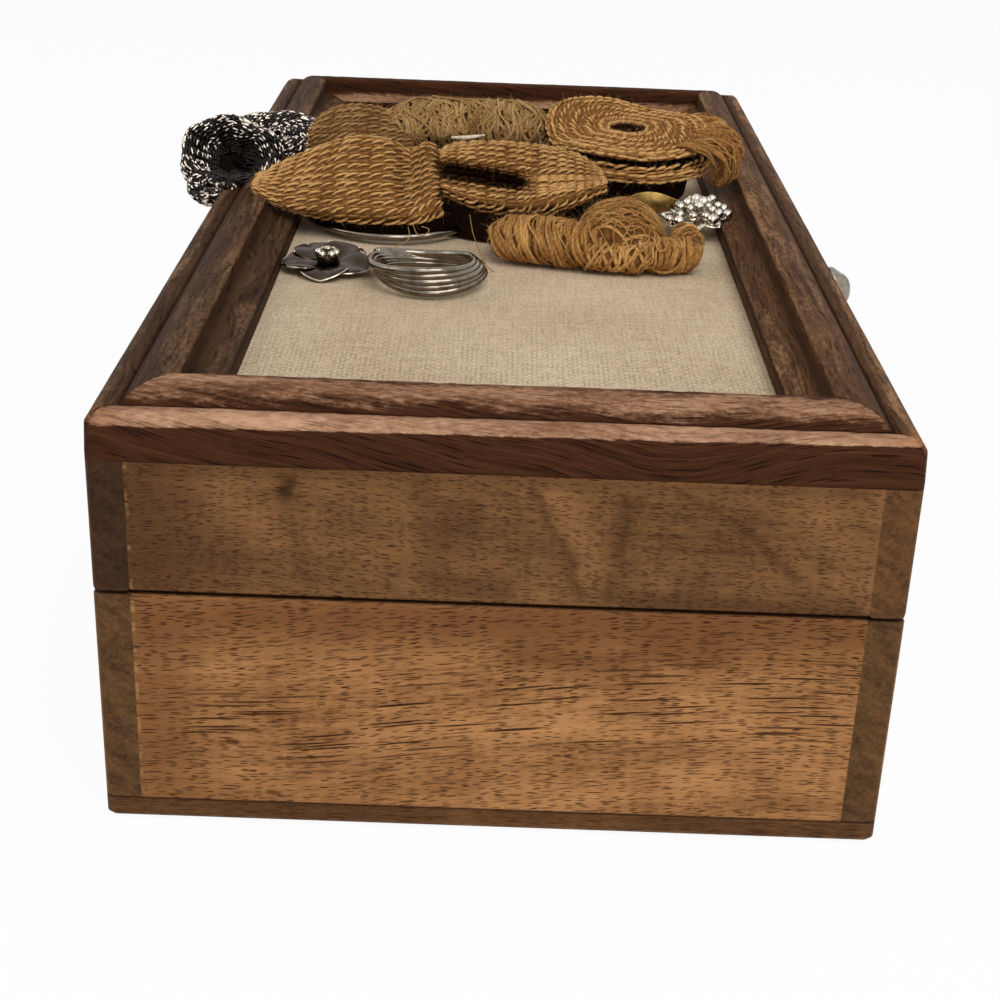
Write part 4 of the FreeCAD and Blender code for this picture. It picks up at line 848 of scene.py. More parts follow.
def charm():
    """Dark metal flower: five overlapping petals on a small dome, with bright rims, partly worn edge and
    partly painted highlight, and seven beads at its heart."""
    heart, count = np.array([-35.9, -33.2, 67.35]), 5
    shape = join(petals(heart, count, 9.0, 9.4, 0.45, 3.0, 8.0, 50.0),
                 balls([heart + 1.1 * UP], [2.2], 20, 10))
    piece("charm_petals", *shape, "charm_metal", CHARM, ("flower_charm",))
    edge = shape[0][:count * PETAL_ROWS * PETAL_ROUND].reshape(count, PETAL_ROWS, PETAL_ROUND, 3)
    # Rims along the petals' outer edges in bright metal: partly worn edge, partly painted highlight.
    rims = np.concatenate([edge[:, 9:, 0], edge[:, :8:-1, PETAL_ROUND // 2]], axis=1)
    strand_piece("charm_rims", [strands(rims, UP, 0.2, sides=8)], "charm_metal", RIM, 14)
    turn = round_turn(6)
    ring = np.stack([1.75 * np.cos(turn), 1.6 * np.sin(turn), 0 * turn], axis=-1)
    seeds = np.concatenate([[0.55 * UP], ring]) + heart + 2.1 * UP
    piece("charm_seeds", *balls(seeds, 0.9), "charm_metal", RIM, ("charm_beads",))


charm()


def bead_bloom():
    """Bright bead flower: beads over a thin petalled disc on a tipped sunflower spiral, turned by the golden
    angle, root-spaced and domed, and a few more beads trailing towards the hinge side."""
    heart, count, stemmed = np.array([39.4, 0.5, 70.9]), 24, 7
    spread, rise, tip, golden = 5.8, 2.0, math.radians(10), 2.39996
    chance = np.random.default_rng(16)
    n = np.arange(count) + 0.5
    r = np.sqrt(n / count)
    x, y = spread * r * np.cos(n * golden), spread * r * np.sin(n * golden)
    places = np.stack([x, y * math.cos(tip), rise * (1 - r * r) + y * math.sin(tip) * 0.8], axis=-1)
    disc = petals(heart - 0.9 * UP, 8, 7.2, 5.2, 0.3, 4.0, 10.0, 0.0, 0.6)
    trail = chance.uniform((-7.4, -6.0, -0.9), (-2.6, 1.0, -0.2), (stemmed, 3))
    places = np.concatenate([places + [1.4, 0.6, 0.4] + chance.normal(0, 0.3, (count, 3)), trail])
    beads = balls(heart + places, chance.uniform(0.8, 1.3, len(places)), 12, 8)
    piece("bead_bloom", *join(disc, beads), "silver_bead", SILVER, ("bead_flower",))


bead_bloom()


def gilt_fold():
    """Gilt leaf: a thin blade standing on its lower edge, its upper edge an arch, bellied towards the front
    and folded forward along the top."""
    rows, columns, thick = 40, 16, 0.35
    u, v = np.linspace(0, 1, rows)[:, None], np.linspace(0, 1, columns)[None, :]
    foot = 67.4 + 1.2 * u + 0 * v
    top = 70.6 + 2.5 * np.sin(math.pi * u ** 0.8) ** 0.7
    belly = np.sin(math.pi * v) * (0.4 + 0.9 * np.sin(math.pi * u)) + 0.9 * v ** 3
    y = 10.4 - belly + 1.4 * (u - 0.5) ** 2
    front = np.stack([25.2 + 12.6 * u + 0.3 * np.sin(6 * u) * v, y, foot + (top - foot) * v], axis=-1)
    points = np.concatenate([front, (front + [0.0, thick, 0.0])[:, ::-1]], axis=1)
    piece("gilt_fold", points, tube_faces(rows, 2 * columns), "gilt", GILT, ("gilt_leaf",))


gilt_fold()

# Nets of the folded cloths, rows across each piece: the leaf from its tip to its folded end, the pouch from
# its closed knob end to its mouth, round the slot in its side, and the back fold from end to end. The leaf's
# first column and the pouch's last column run down towards the linen as skirts under the pieces: dark
# sheets of painted shade.
LEAF_NET = [
    [(-53.338, -7.654, 74.953), (-54.019, -9.602, 75.44), (-54.214, -8.628, 76.025),
     (-53.922, -7.654, 76.706), (-53.338, -5.706, 77.096), (-52.851, -1.81, 75.927)],
    [(-48.492, -6.775, 72.69), (-49.084, -10.723, 72.887), (-49.873, -9.242, 74.269),
     (-49.084, -4.801, 76.539), (-47.702, 1.121, 78.71), (-46.616, 7.043, 77.822)],
    [(-40.424, -2.735, 67.407), (-41.921, -12.116, 71.698), (-42.619, -10.719, 73.594),
     (-42.12, -2.735, 77.087), (-41.022, 7.245, 80.481), (-40.024, 13.233, 78.684)],
    [(-33.0, -10.4, 66.7), (-33.0, -14.2, 71.9), (-33.7, -12.2, 74.0), (-34.1, -3.0, 78.2),
     (-34.1, 9.0, 82.2), (-34.0, 14.5, 80.0)],
    [(-25.0, -11.4, 66.7), (-24.4, -14.2, 72.0), (-25.0, -12.0, 74.0), (-26.1, -3.0, 78.0),
     (-26.6, 9.0, 81.8), (-27.2, 14.5, 79.6)],
    [(-20.0, -10.4, 66.7), (-19.1, -13.2, 72.0), (-20.4, -8.6, 73.2), (-21.6, 2.5, 75.4),
     (-22.2, 11.0, 78.8), (-22.7, 14.5, 78.9)],
    [(-16.2, -7.6, 66.9), (-15.6, -11.4, 73.0), (-16.2, -8.0, 75.2), (-17.0, -1.4, 78.0), (-17.9, 6.6, 81.0),
     (-18.0, 12.0, 81.6)],
    [(-13.4, -6.2, 66.9), (-14.6, -7.0, 72.0), (-14.5, -3.4, 73.6), (-14.7, 2.4, 75.4), (-15.2, 8.0, 77.5),
     (-15.4, 12.6, 78.6)]]
POUCH_NET = [
    [(19.3, 9.0, 77.2), (19.6, 6.0, 77.6), (20.1, 2.5, 77.5), (20.3, 1.0, 77.3), (20.3, 0.0, 77.0),
     (20.2, -1.0, 76.5), (19.9, -1.0, 75.8), (19.5, 2.0, 75.3)],
    [(15.3, 12.0, 79.4), (15.4, 6.0, 79.6), (15.4, 0.0, 78.4), (15.6, -3.0, 77.8), (15.5, -5.5, 77.0),
     (15.5, -7.0, 76.2), (15.8, -6.0, 74.8), (15.8, -3.6, 69.0)],
    [(10.5, 13.6, 80.5), (10.4, 6.0, 80.8), (10.2, -3.0, 79.1), (10.2, -6.2, 78.3), (10.2, -9.0, 77.1),
     (10.2, -10.5, 75.6), (10.8, -9.5, 73.6), (11.0, -7.0, 66.6)],
    [(5.7, 13.6, 81.2), (5.6, 6.0, 81.6), (5.3, -5.4, 79.4), (5.3, -8.0, 78.5), (5.4, -10.8, 76.5),
     (5.6, -12.5, 75.1), (6.2, -11.0, 72.6), (6.5, -10.0, 66.4)],
    [(1.2, 13.6, 81.5), (1.3, 6.0, 82.2), (1.3, -5.2, 80.3), (1.7, 8.0, 75.6), (1.4, -9.8, 75.6),
     (1.5, -13.0, 75.1), (1.8, -12.0, 72.7), (2.3, -11.0, 66.4)],
    [(-4.9, 13.6, 81.5), (-4.8, 6.0, 82.6), (-4.6, -4.6, 81.0), (-4.4, 10.0, 76.2), (-4.4, -9.6, 75.9),
     (-4.5, -13.0, 75.5), (-4.2, -12.0, 73.3), (-3.7, -11.0, 66.4)],
    [(-11.0, 13.0, 81.3), (-10.7, 5.0, 82.2), (-10.5, -3.6, 81.4), (-10.5, 10.0, 77.0), (-10.3, -7.6, 76.2),
     (-10.6, -11.0, 76.2), (-10.1, -10.0, 74.3), (-9.5, -9.0, 66.4)],
    [(-14.6, 10.0, 80.8), (-15.2, 4.0, 81.4), (-15.2, -2.4, 81.4), (-17.0, 6.0, 78.2), (-14.8, -5.6, 76.6),
     (-14.7, -8.0, 77.0), (-14.0, -7.0, 75.5), (-16.4, -4.6, 66.6)]]
BACK_NET = [
    [(-46.0, 22.0, 76.5), (-46.0, 19.0, 77.5), (-46.0, 22.0, 80.5),
     (-45.6, 28.0, 81.0), (-45.4, 33.0, 78.5)],
    [(-41.0, 18.0, 76.0), (-41.0, 15.6, 78.0), (-40.6, 20.0, 82.0),
     (-40.0, 29.0, 84.3), (-40.0, 36.0, 80.0)],
    [(-35.0, 17.0, 76.0), (-35.0, 15.0, 78.5), (-34.6, 20.0, 82.6),
     (-34.0, 30.0, 85.0), (-34.0, 37.0, 81.0)],
    [(-29.0, 17.5, 76.0), (-29.0, 15.6, 78.2), (-28.6, 20.0, 82.0),
     (-28.4, 29.0, 84.2), (-28.4, 36.4, 80.4)],
    [(-22.4, 21.0, 76.6), (-22.0, 18.6, 78.0), (-22.0, 22.0, 80.6),
     (-22.0, 28.0, 81.6), (-22.4, 33.0, 79.0)]]


def slot_depth(points):
    """How deep points lie in the pouch's slot, for the painted shade there: from 0 at its mouth to 1 well
    inside.
    """
    slot_top, slot_end, mouth, deep = 80.7, 4.2, -4.6, 4.0
    inside = (points[..., 2] < slot_top) & (points[..., 0] < slot_end)
    return inside * np.clip((points[..., 1] - mouth) / deep, 0, 1)


def rosette_net():
    """Net of the rosette: a section of radius and height, from inside the eye over the disc to the lip, in
    to the crease, out round the lower layer and under it, carried round an oval; the far side is higher and
    its edge curls up."""
    section = np.array([(0.02, -7.0), (0.13, -5.5), (0.17, -2.4), (0.21, 0.1), (0.34, 0.9), (0.6, 0.9),
                        (0.86, 0.8), (0.98, 0.4), (0.985, -0.3), (0.76, -1.6), (0.98, -2.8), (1.05, -3.8),
                        (1.03, -4.9), (0.9, -5.6), (0.8, -8.5), (0.76, -12.0)])
    radius, height = section.T
    half_x, half_y, top, lip, stations = 18.0, 14.4, 82.0, 9, 14
    angle = -round_turn(stations)[:, None]
    slide = np.clip((radius - 0.2) / 0.5, 0, 1)
    x = 25.8 + half_x * radius * np.cos(angle) + slide * 0.2
    y = 26.0 + half_y * radius * np.sin(angle) - slide * 1.0
    wave = 0.55 * np.sin(3 * angle + 0.6) + 0.35 * np.sin(5 * angle)
    curl = np.clip(np.cos(angle - 2.4) * 2 - 1, 0, 1) * np.clip(radius * 2.5 - 1.25, 0, 1)
    curl = curl * (np.arange(len(radius)) < lip)
    z = top + height + 0.17 * (y - 22.0) + wave * np.clip(radius, 0, 1) + 2.2 * curl
    return np.stack([x, y, z], axis=-1)


SLANTED = dict(lean=0.2, tall=0.74, stand=0.4, lift=1.2, even=True)
LIP = dict(courses=50, radius=0.3, splay=0.1, lean=0.12, skew=0.5)
# Outside lit the backing is painted shade: the leaf's skirt, the pouch's lining and slot, and the rosette's
# eye, crease and underside.
cloth("burlap_leaf_cloth", "burlap_leaf", LEAF_NET,
      [dict(SLANTED, wales=12, courses=19, radius=0.23, reach=(0.14, 1.0), skew=0.6, splay=0.04)],
      BURLAP, LEAF_FELT, 21, hairs=2600, lit=(0.13, 1.0))
cloth("burlap_pouch_cloth", "burlap_pouch", POUCH_NET,
      [dict(SLANTED, wales=14, courses=19, radius=0.24, reach=(0.0, 0.87), skew=0.55, splay=0.05)],
      BURLAP, LEAF_FELT, 22, hairs=2600, lit=(0.0, 0.81), hidden=slot_depth)
cloth("burlap_back_cloth", "burlap_back_fold", BACK_NET,
      [dict(wales=9, courses=12, radius=0.25, skew=0.5, splay=0.06, lean=0.16, stand=0.4, lift=1.1,
            even=True)],
      BURLAP_DULL, LEAF_FELT, 23, hairs=1500)
cloth("burlap_rosette_cloth", "burlap_rosette", rosette_net(),
      [dict(wales=5, courses=46, radius=0.25, reach=(0.215, 0.43), stand=-0.5, lift=1.1, splay=0.06,
            lean=0.16, skew=0.5),
       dict(LIP, wales=2, reach=(0.43, 0.555), stand=0.4),
       dict(LIP, wales=3, reach=(0.65, 0.84), stand=0.7)],
      BURLAP, BURLAP_FELT, 24, closed=True, hairs=3200, lit=(0.2, 0.53))


def oval(side, up, radius, squash, turn):
    """Places round an oval: radius times cosine along side, and squashed radius times sine along up."""
    return side * (radius * np.cos(turn))[..., None] + up * (radius * squash * np.sin(turn))[..., None]


def sausage(start, end, radius, squash, lumps, seed, stations=9):
    """Net of a lumpy roll: rings round a straight axis, their radius a rounded bar's with random lumps."""
    chance = np.random.default_rng(seed)
    t = np.linspace(0, 1, stations)
    axis = np.asarray(start) + (np.asarray(end) - np.asarray(start)) * t[:, None]
    way = unit(np.asarray(end, float) - np.asarray(start, float))
    side = unit(np.cross(way, UP))
    up = np.cross(side, way)
    around = 10
    turn = -round_turn(around)
    r = radius * np.clip(1 - np.abs(2 * t - 1) ** 4, 0.02, 1)[:, None] ** 0.5
    r = r * (1 + chance.uniform(-lumps, lumps, (stations, around)))
    return (axis[:, None] + oval(side, up, r, squash, turn)).transpose(1, 0, 2)


def roll_core(name, net, finish, slot, nodes):
    """Padded core of a roll: the smooth surface through its net, closed by a cap on either end."""
    around, along = 48, 40
    points = surface(net, np.linspace(0, 1, around + 1)[:-1], np.linspace(0, 1, along), True)
    ends = np.stack([np.arange(around)[::-1] * along, np.arange(around) * along + along - 1])
    core = piece(name, points, [grid_faces(around, along, wrap_rows=True), ends], slot, finish, nodes)


def wraps(net, places, start, sweep, slant, stand, radius, seed, sway, steps=22, bow=0.0):
    """Yarns wrapped part way round a roll: at each place along it the yarn runs from a start angle over a
    sweep, sliding along the roll by the slant and, at both ends, by the bow, and standing off it a little.
    The yarns lie on the linen and taper to their ends."""
    chance = np.random.default_rng(seed)
    n = len(places)
    t = np.linspace(0, 1, steps)
    u = (start + chance.normal(0, 0.02, (n, 1)) + t * sweep * chance.uniform(0.85, 1.1, (n, 1))) % 1.0
    v = np.clip(np.asarray(places)[:, None] + slant * (t - 0.5) + bow * (2 * t - 1) ** 2
                + slow_waves(chance, n, steps, sway), 0.01, 0.99)
    off = stand * (0.5 + np.sin(math.pi * t)) * chance.uniform(0.6, 1.4, (n, 1))
    points, ups = lookup(net, u, v, True)
    lines = points + ups * off[..., None]
    lines[..., 2] = np.maximum(lines[..., 2], LINEN_TOP + 0.14 + radius)
    taper = np.minimum(1, 0.35 + 3 * np.sin(math.pi * np.clip(t, 0.02, 0.98)))
    return lines, ups, radius * (1 + slow_waves(chance, n, steps, 0.12)) * taper


ROLL_STEPS = 26
ROLL_END, ROLL_LOW, ROLL_HIGH = 42.0, 66.9, 77.6


def wrap_layers(chance, net, start, sweep, plan):
    """Layers of wraps on one roll. Each row of the plan gives a layer's bundles, the strands in a bundle,
    and their slant, stand, radius, sway and bow. Bundles lie at even places, and the strands of a bundle
    close together."""
    layers = []
    for bundles, each, slant, stand, thick, sway, bow in plan:
        beside = np.tile(np.arange(each) - each / 2, bundles) * 0.5 / bundles / each
        places = np.repeat(np.linspace(0.05, 0.93, bundles), each) + beside
        places = places + chance.normal(0, 0.08 / bundles, len(places))
        seed = len(layers) + 10 * bundles
        layers.append(wraps(net, places, start, sweep, slant, stand, thick, seed, sway, ROLL_STEPS, bow))
    return layers


def hanging_loops(chance, t):
    """U-shaped loops in two groups: half circles of random width, drawn down and hung by their ends."""
    count = 40
    group = np.arange(count)[:, None] % 2
    wide = chance.uniform(0.8, 3.9, (count, 1))
    sag = np.sin(math.pi * t)
    x = 30.2 + 4.6 * group + chance.normal(0, 0.5, (count, 1)) - wide * np.cos(math.pi * t)
    y = -28.6 + 1.8 * group + chance.normal(0, 0.5, (count, 1)) - 0.6 * sag
    z = 72.4 - 0.8 * group + chance.normal(0, 0.3, (count, 1)) - 1.35 * wide * sag ** 0.8
    return np.stack([x, y, z], axis=-1)


def standing_loops(chance, t):
    """A tuft of arches that lean to the knob side, three to a clump, each lower and slimmer than the one
    before."""
    clumps = 10
    base = np.repeat(chance.uniform((32.0, -22.0, 69.0), (37.0, -18.0, 70.0), (clumps, 3)), 3, axis=0)
    lean = np.repeat(chance.uniform(1.0, 4.2, (clumps, 1)), 3, axis=0)
    lean = lean + chance.normal(0, 0.25, (3 * clumps, 1))
    tall = np.repeat(chance.uniform(2.6, 5.4, (clumps, 1)), 3, axis=0)
    tall = tall * np.tile([[1.0], [0.86], [0.72]], (clumps, 1))
    slim = np.tile([[1.1], [0.75], [0.4]], (clumps, 1))
    arch = np.sin(math.pi * t)
    x = lean * np.sin(math.pi * t * 0.5) - slim * np.cos(math.pi * t)
    return base[:, None] + np.stack([x, -0.8 * arch + 0 * x, tall * arch ** 0.7], axis=-1)


def front_roll():
    """Frayed roll: yarns wrapped round a roll on the left, a hump of combed strands arched from side to side
    in the middle, a braided fold along the hump's foot, a small roll at the knob end hung with U-shaped
    loops, and a tuft of standing loops."""
    chance = np.random.default_rng(33)
    left = sausage((-4.2, -20.0, 70.4), (19.5, -24.5, 69.9), 6.3, 0.64, 0.05, 31)
    hump = sausage((22.4, -27.2, 68.4), (23.0, -5.6, 69.6), 9.0, 0.84, 0.04, 32, stations=10)
    foot = sausage((13.5, -27.0, 68.9), (29.0, -28.2, 68.7), 3.4, 0.66, 0.06, 38)
    right = sausage((26.0, -26.6, 69.2), (38.2, -23.6, 69.0), 4.6, 0.62, 0.06, 39)
    for name, net, nodes in (("front_roll_core", left, ("burlap_roll",)), ("front_hump_core", hump, ()),
                             ("front_fold_core", foot, ()), ("front_end_core", right, ())):
        net[..., 2] = np.maximum(net[..., 2], LINEN_TOP + 0.9)
        roll_core(name, net, ROLL_FELT, "burlap", nodes)
    bands = []
    for net, start, sweep, plan in (
            (left, 0.54, 0.66, ((12, 1, 0.12, 0.1, 0.72, 0.014, 0.16), (12, 2, 0.16, 0.5, 0.3, 0.02, 0.16),
                                (14, 2, 0.05, 0.5, 0.13, 0.04, 0.08))),
            (hump, 0.4, 0.7, ((12, 1, 0.06, 0.0, 0.34, 0.05, 0.03), (14, 1, -0.2, 0.15, 0.22, 0.1, 0.0),
                              (26, 1, 0.2, 0.3, 0.12, 0.16, 0.0))),
            (foot, 0.5, 0.8, ((9, 2, 0.4, 0.2, 0.36, 0.02, 0.0), (9, 2, -0.4, 0.4, 0.3, 0.03, 0.0))),
            (right, 0.54, 0.66, ((8, 1, -0.16, 0.2, 0.6, 0.014, -0.1),
                                 (12, 1, -0.3, 0.4, 0.26, 0.03, -0.05)))):
        bands += wrap_layers(chance, net, start, sweep, plan)
    t = np.linspace(0, 1, ROLL_STEPS)
    loose = [hanging_loops(chance, t), standing_loops(chance, t)]
    for lines in loose:
        lines[..., 0] = np.minimum(lines[..., 0], ROLL_END)
        lines[..., 2] = np.clip(lines[..., 2], ROLL_LOW, ROLL_HIGH)
    # Painted light along each wrap: paler in its middle, darker towards its tucked ends.
    crest = 0.35 + 0.5 * np.sin(np.linspace(0.2, 2.9, ROLL_STEPS))
    bundles = [strands(*band, crest=crest) for band in bands]
    toward = np.array([0.1, -0.9, 0.4])
    # The loose loops get a high crest: painted highlight.
    bundles += [strands(lines, toward, chance.uniform(0.22, 0.4, (len(lines), 1)), crest=0.9)
                for lines in loose]
    strand_piece("front_roll_yarns", bundles, "burlap", BURLAP_GOLD, 36)
    every = np.concatenate([lines.reshape(-1, 3) for lines in [band[0] for band in bands] + loose])
    ups = np.broadcast_to([0.0, -0.5, 0.8], every.shape)
    strand_piece("front_roll_hairs", [fuzz(every, ups, 5600, 1.25, 37, 0.03)], "burlap", HAIR, 37)


front_roll()


def jute_bundle():
    """Loose jute: a lumpy core hidden under three layers of wavy strands that cross it at different
    slants."""
    net = sausage((-29.6, 29.0, 81.4), (8.8, 30.0, 81.8), 7.4, 0.66, 0.1, 41)
    roll_core("jute_core_roll", net, JUTE_BACK, "jute", ("jute_roll",))
    layers = [wraps(net, np.linspace(0.02, 0.98, 40), 0.55, 0.6, 0.1, 0.3, 0.46, 42, sway=0.012),
              wraps(net, np.linspace(0.03, 0.97, 34), 0.56, 0.56, -0.16, 0.5, 0.36, 43, sway=0.03),
              wraps(net, np.linspace(0.05, 0.95, 40), 0.58, 0.46, 0.2, 0.7, 0.24, 44, sway=0.06)]
    strand_piece("jute_strands", [strands(*layer) for layer in layers], "jute", JUTE, 45)
    every, ups = (np.concatenate([layer[k].reshape(-1, 3) for layer in layers]) for k in (0, 1))
    strand_piece("jute_hairs", [fuzz(every, ups, 1500, 0.8, 46, 0.035)], "jute", JUTE, 46)


jute_bundle()


def rosette_loops():
    """Fringe on the rosette's knob side: strands leave the disc's rim, bow outwards, fall and curl in, in
    clumps."""
    chance = np.random.default_rng(51)
    n, steps, knob_end, low, high = 54, 28, 54.0, 73.8, 86.8
    t = np.linspace(0, 1, steps)
    clump = np.floor(np.arange(n) / 4.5)[:, None]
    angle = np.radians(np.linspace(34, -46, n))[:, None] * (1 - 0.2 * t)
    angle = angle + (clump % 3 - 1) * 0.07 * t + chance.normal(0, 0.03, (n, 1))
    size = 1 + 0.12 * np.sin(clump * 2.1) + chance.normal(0, 0.06, (n, 1))
    out = 15.6 + 8.8 * size * np.sin(t * math.pi * 0.72) + slow_waves(chance, n, steps, 0.4)
    x, y = 25.8 + out * np.cos(angle), 25.0 + out * np.sin(angle) * 0.86
    z = 82.8 + 0.16 * (y - 22.0) + 1.6 * np.sin(math.pi * t) - 8.2 * size * t ** 1.8
    z = z + slow_waves(chance, n, steps, 0.35)
    loops = np.stack([np.minimum(x, knob_end), y, np.clip(z, low, high)], axis=-1)
    thick = chance.uniform(0.22, 0.48, (n, 1))
    strand_piece("rosette_loops", [strands(loops, np.array([0.5, -0.3, 0.8]), thick)], "burlap", BURLAP, 52)


rosette_loops()


def mesh_lobe(centre, facing, radius, depths, squash, seed):
    """Net of a cupped lobe: rings of given radius and depth along its facing direction, from hollow to
    back."""
    chance = np.random.default_rng(seed)
    facing = unit(np.asarray(facing, float))
    side = unit(np.cross(facing, UP))
    up = np.cross(side, facing)
    stations = 12
    turn = round_turn(stations)[:, None]
    r = np.asarray(radius)[None] * (1 + chance.uniform(-0.14, 0.12, (stations, 1)))
    d = np.asarray(depths)[None] + chance.uniform(-1.0, 1.0, (stations, 1))
    return np.asarray(centre) + oval(side, up, r, squash, turn) + facing * d[..., None]


def cup_depth(points):
    """How far points lie inside the cup of the first lobe, where the thread gets painted shade and no
    glints: 1 at its middle, 0 from its rim outwards.
    """
    cup_x, cup_y, cup_z, rim = -60.6, 10.0, 76.4, 6.6
    away = np.hypot(points[..., 0] - cup_x, (points[..., 2] - cup_z) * 1.1 + (points[..., 1] - cup_y) * 0.35)
    return np.clip((rim - away) / 2.0, 0, 1)


def mesh_flower():
    """Black knitted flower: three lobes, each a dark ground under rows of zigzag metal thread."""
    lobes = [(mesh_lobe((-62.5, 13.0, 77.0), (-0.1, -0.8, 0.6), (0.1, 3.0, 5.2, 7.6, 9.6, 10.6, 9.0, 6.0),
                        (-5.6, -5.0, -3.0, 0.2, 1.0, -2.5, -6.5, -8.5), 0.86, 61), 13, 34, 0.14),
             (mesh_lobe((-53.2, 22.5, 78.4), (0.1, -0.6, 0.8), (0.8, 3.4, 7.2, 10.6, 11.6, 8.0),
                        (1.2, 2.2, 2.6, 0.4, -3.4, -6.0), 0.72, 62), 12, 38, 0.06),
             (mesh_lobe((-65.0, 5.6, 71.6), (-0.2, -0.8, 0.55), (0.8, 2.6, 4.6, 5.6, 4.6),
                        (0.4, 1.2, 1.0, -1.4, -4.0), 0.6, 63), 6, 20, 0.06)]
    low, high, hinge_end = 67.5, 85.4, -73.2
    around, along = 48, 30
    u, v = np.linspace(0, 1, around + 1)[:-1], np.linspace(0, 1, along)
    bundles = []
    for number, (net, wales, courses, start) in enumerate(lobes):
        net[..., 2] = np.clip(net[..., 2], low, high)
        net[..., 0] = np.maximum(net[..., 0], hinge_end)
        ground = piece("mesh_ground_%d" % (number + 1), surface(net, u, v, True),
                       grid_faces(around, along, wrap_rows=True), "black_mesh", MESH_BACK,
                       ("mesh_flower",) if number == 0 else ())
        bundles.append(knit(net, wales, courses, 0.2, 64 + number, True, reach=(start, 1.0), lean=0.2,
                            ravel=0.25, hidden=cup_depth)[0])
    strand_piece("mesh_threads", bundles, "black_mesh", THREAD, 67)


mesh_flower()


def loose_threads():
    """A few thin threads that have come away, and a bit of pale straw: smooth curves through a handful of
    points."""
    paths = [[(-8.4, -13.0, 72.6), (-7.6, -18.0, 70.4), (-6.4, -24.0, 69.0), (-4.6, -31.0, 67.6),
              (-3.0, -34.0, 67.0)],
             [(-20.0, -15.0, 70.6), (-19.0, -17.5, 69.4), (-17.4, -18.6, 69.6), (-16.6, -17.2, 70.4),
              (-18.2, -16.6, 70.8)],
             [(-21.0, -15.4, 70.2), (-20.6, -18.0, 68.6), (-22.4, -19.4, 67.6), (-23.4, -20.0, 67.2),
              (-24.0, -20.4, 67.0)]]
    lines = np.stack([through(p, np.linspace(0, 1, 30)) for p in paths])
    toward = np.array([0.2, -0.5, 0.8])
    strand_piece("loose_threads", [strands(lines, toward, 0.1, sides=5)], "jute", JUTE, 71)
    straw = through([(-13.5, 17.2, 81.6), (-10.0, 16.4, 81.9), (-6.0, 16.6, 82.6)], np.linspace(0, 1, 16))
    taper = 0.5 * np.sin(np.linspace(0.5, 2.8, 16))
    strand_piece("pale_straw", [strands(straw[None], UP, taper, sides=8)], "jute", STRAW, 72)


loose_threads()


def seen(signal):
    """1 for rays from the camera and for what metal and glass show, 0 for the light that falls on the
    box."""
    rays = [signal.add("ShaderNodeLightPath", output=kind)
            for kind in ("Is Camera Ray", "Is Glossy Ray", "Is Transmission Ray")]
    return (rays[0] + rays[1] + rays[2]).least(1.0)


def stand(name, thing, right, up, back, place):
    """Puts a lamp or a camera into the scene by its own X, Y and Z directions and its place in metres."""
    holder = bpy.data.objects.new(name, thing)
    bpy.context.scene.collection.objects.link(holder)
    turn = np.eye(4)
    turn[:3] = np.stack([right, up, back, place], axis=1)
    holder.matrix_world = Matrix(turn.tolist())
    return holder


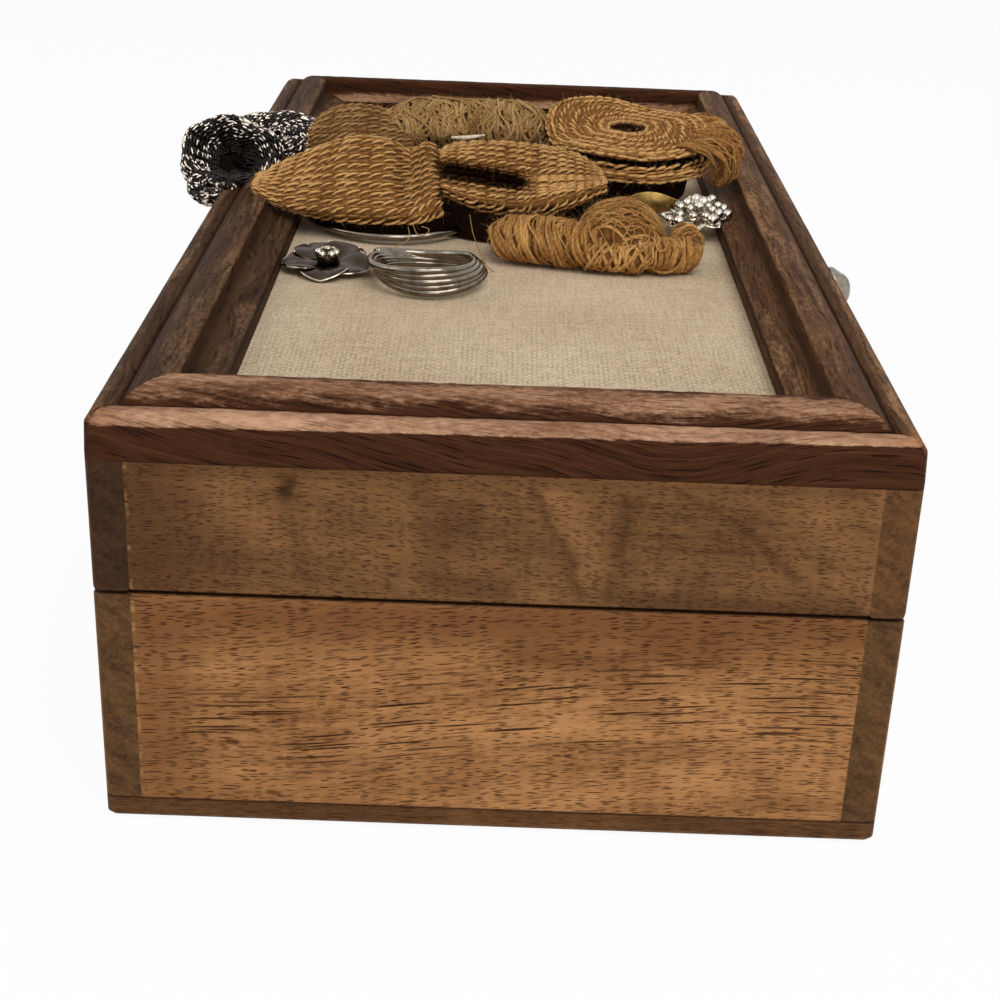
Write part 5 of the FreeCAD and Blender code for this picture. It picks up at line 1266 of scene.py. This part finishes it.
def studio_floor():
    """Pale paper half a millimetre under the box, which takes its shadow but is white to the camera."""
    half, level, whiteness = 3.0, -0.0005, 0.94
    mesh = bpy.data.meshes.new("studio_floor")
    corners = [(-half, -half, level), (half, -half, level), (half, half, level), (-half, half, level)]
    mesh.from_pydata(corners, [], [(0, 1, 2, 3)])
    floor = bpy.data.objects.new("studio_floor", mesh)
    bpy.context.scene.collection.objects.link(floor)
    paper = Finish("studio_paper", Roughness=0.9, Specular_IOR_Level=0.0, Base_Color=(0.9, 0.9, 0.9, 1))
    glow = paper.add("ShaderNodeEmission", (), {"Color": (1, 1, 1, 1), "Strength": 1.0})
    skin = Signal(paper.tree, paper.surface.outputs[0])
    both = paper.add("ShaderNodeMixShader", (), {0: seen(paper) * whiteness, 1: skin, 2: glow})
    output = next(n for n in paper.tree.nodes if n.type == "OUTPUT_MATERIAL")
    paper.tree.links.new(both.socket, output.inputs["Surface"])
    mesh.materials.append(paper.material)


def lamps_and_sky():
    """A broad lamp above in front, weaker ones at the hinge side and low in front, and a dim sky that is
    white to the camera. Places and sizes are in metres, powers in watts."""
    for name, place, aim, size, power in (("window_above", (0.25, -0.55, 0.85), (0, 0.0, 0.05), 0.7, 6.4),
                                          ("window_side", (-0.75, -0.1, 0.6), (0, 0.0, 0.05), 0.5, 1.4),
                                          ("window_front", (0.1, -1.1, 0.3), (0, -0.1, 0.04), 0.5, 1.6)):
        lamp = bpy.data.lights.new(name, "AREA")
        lamp.energy, lamp.size = power, size
        back = unit(np.array(place) - np.array(aim))
        right = unit(np.cross(UP, back))
        stand(name, lamp, right, np.cross(back, right), back, place)
    world = bpy.data.worlds.new("studio_sky")
    bpy.context.scene.world = world
    world.use_nodes = True
    sky = next(n for n in world.node_tree.nodes if n.type == "BACKGROUND")
    sky.inputs["Color"].default_value = (1, 1, 1, 1)
    dim = 0.38
    strength = seen(Signal(world.node_tree)) * (1 - dim) + dim
    world.node_tree.links.new(strength.socket, sky.inputs["Strength"])
    bpy.context.scene.view_settings.view_transform = "Standard"


def camera():
    """Camera of the photo: its fitted place in metres, and a turn by yaw, pitch and roll; the lens is in
    sensor widths."""
    yaw, pitch, roll = (math.radians(a) for a in (0.395, 24.538, -2.253))
    place, sensor, lens_widths = (-0.00227, -0.36929, 0.17062), 36.0, 1.7603
    ahead = np.array([math.sin(yaw) * math.cos(pitch), math.cos(yaw) * math.cos(pitch), -math.sin(pitch)])
    level = np.array([math.cos(yaw), -math.sin(yaw), 0.0])
    down = np.cross(ahead, level)
    right = math.cos(roll) * level + math.sin(roll) * down
    below = -math.sin(roll) * level + math.cos(roll) * down
    lens = bpy.data.cameras.new("photo_camera")
    lens.sensor_width, lens.lens = sensor, sensor * lens_widths
    lens.clip_start, lens.clip_end = 0.01, 20.0
    bpy.context.scene.camera = stand("photo_camera", lens, right, -below, -ahead, place)


studio_floor()
lamps_and_sky()
camera()
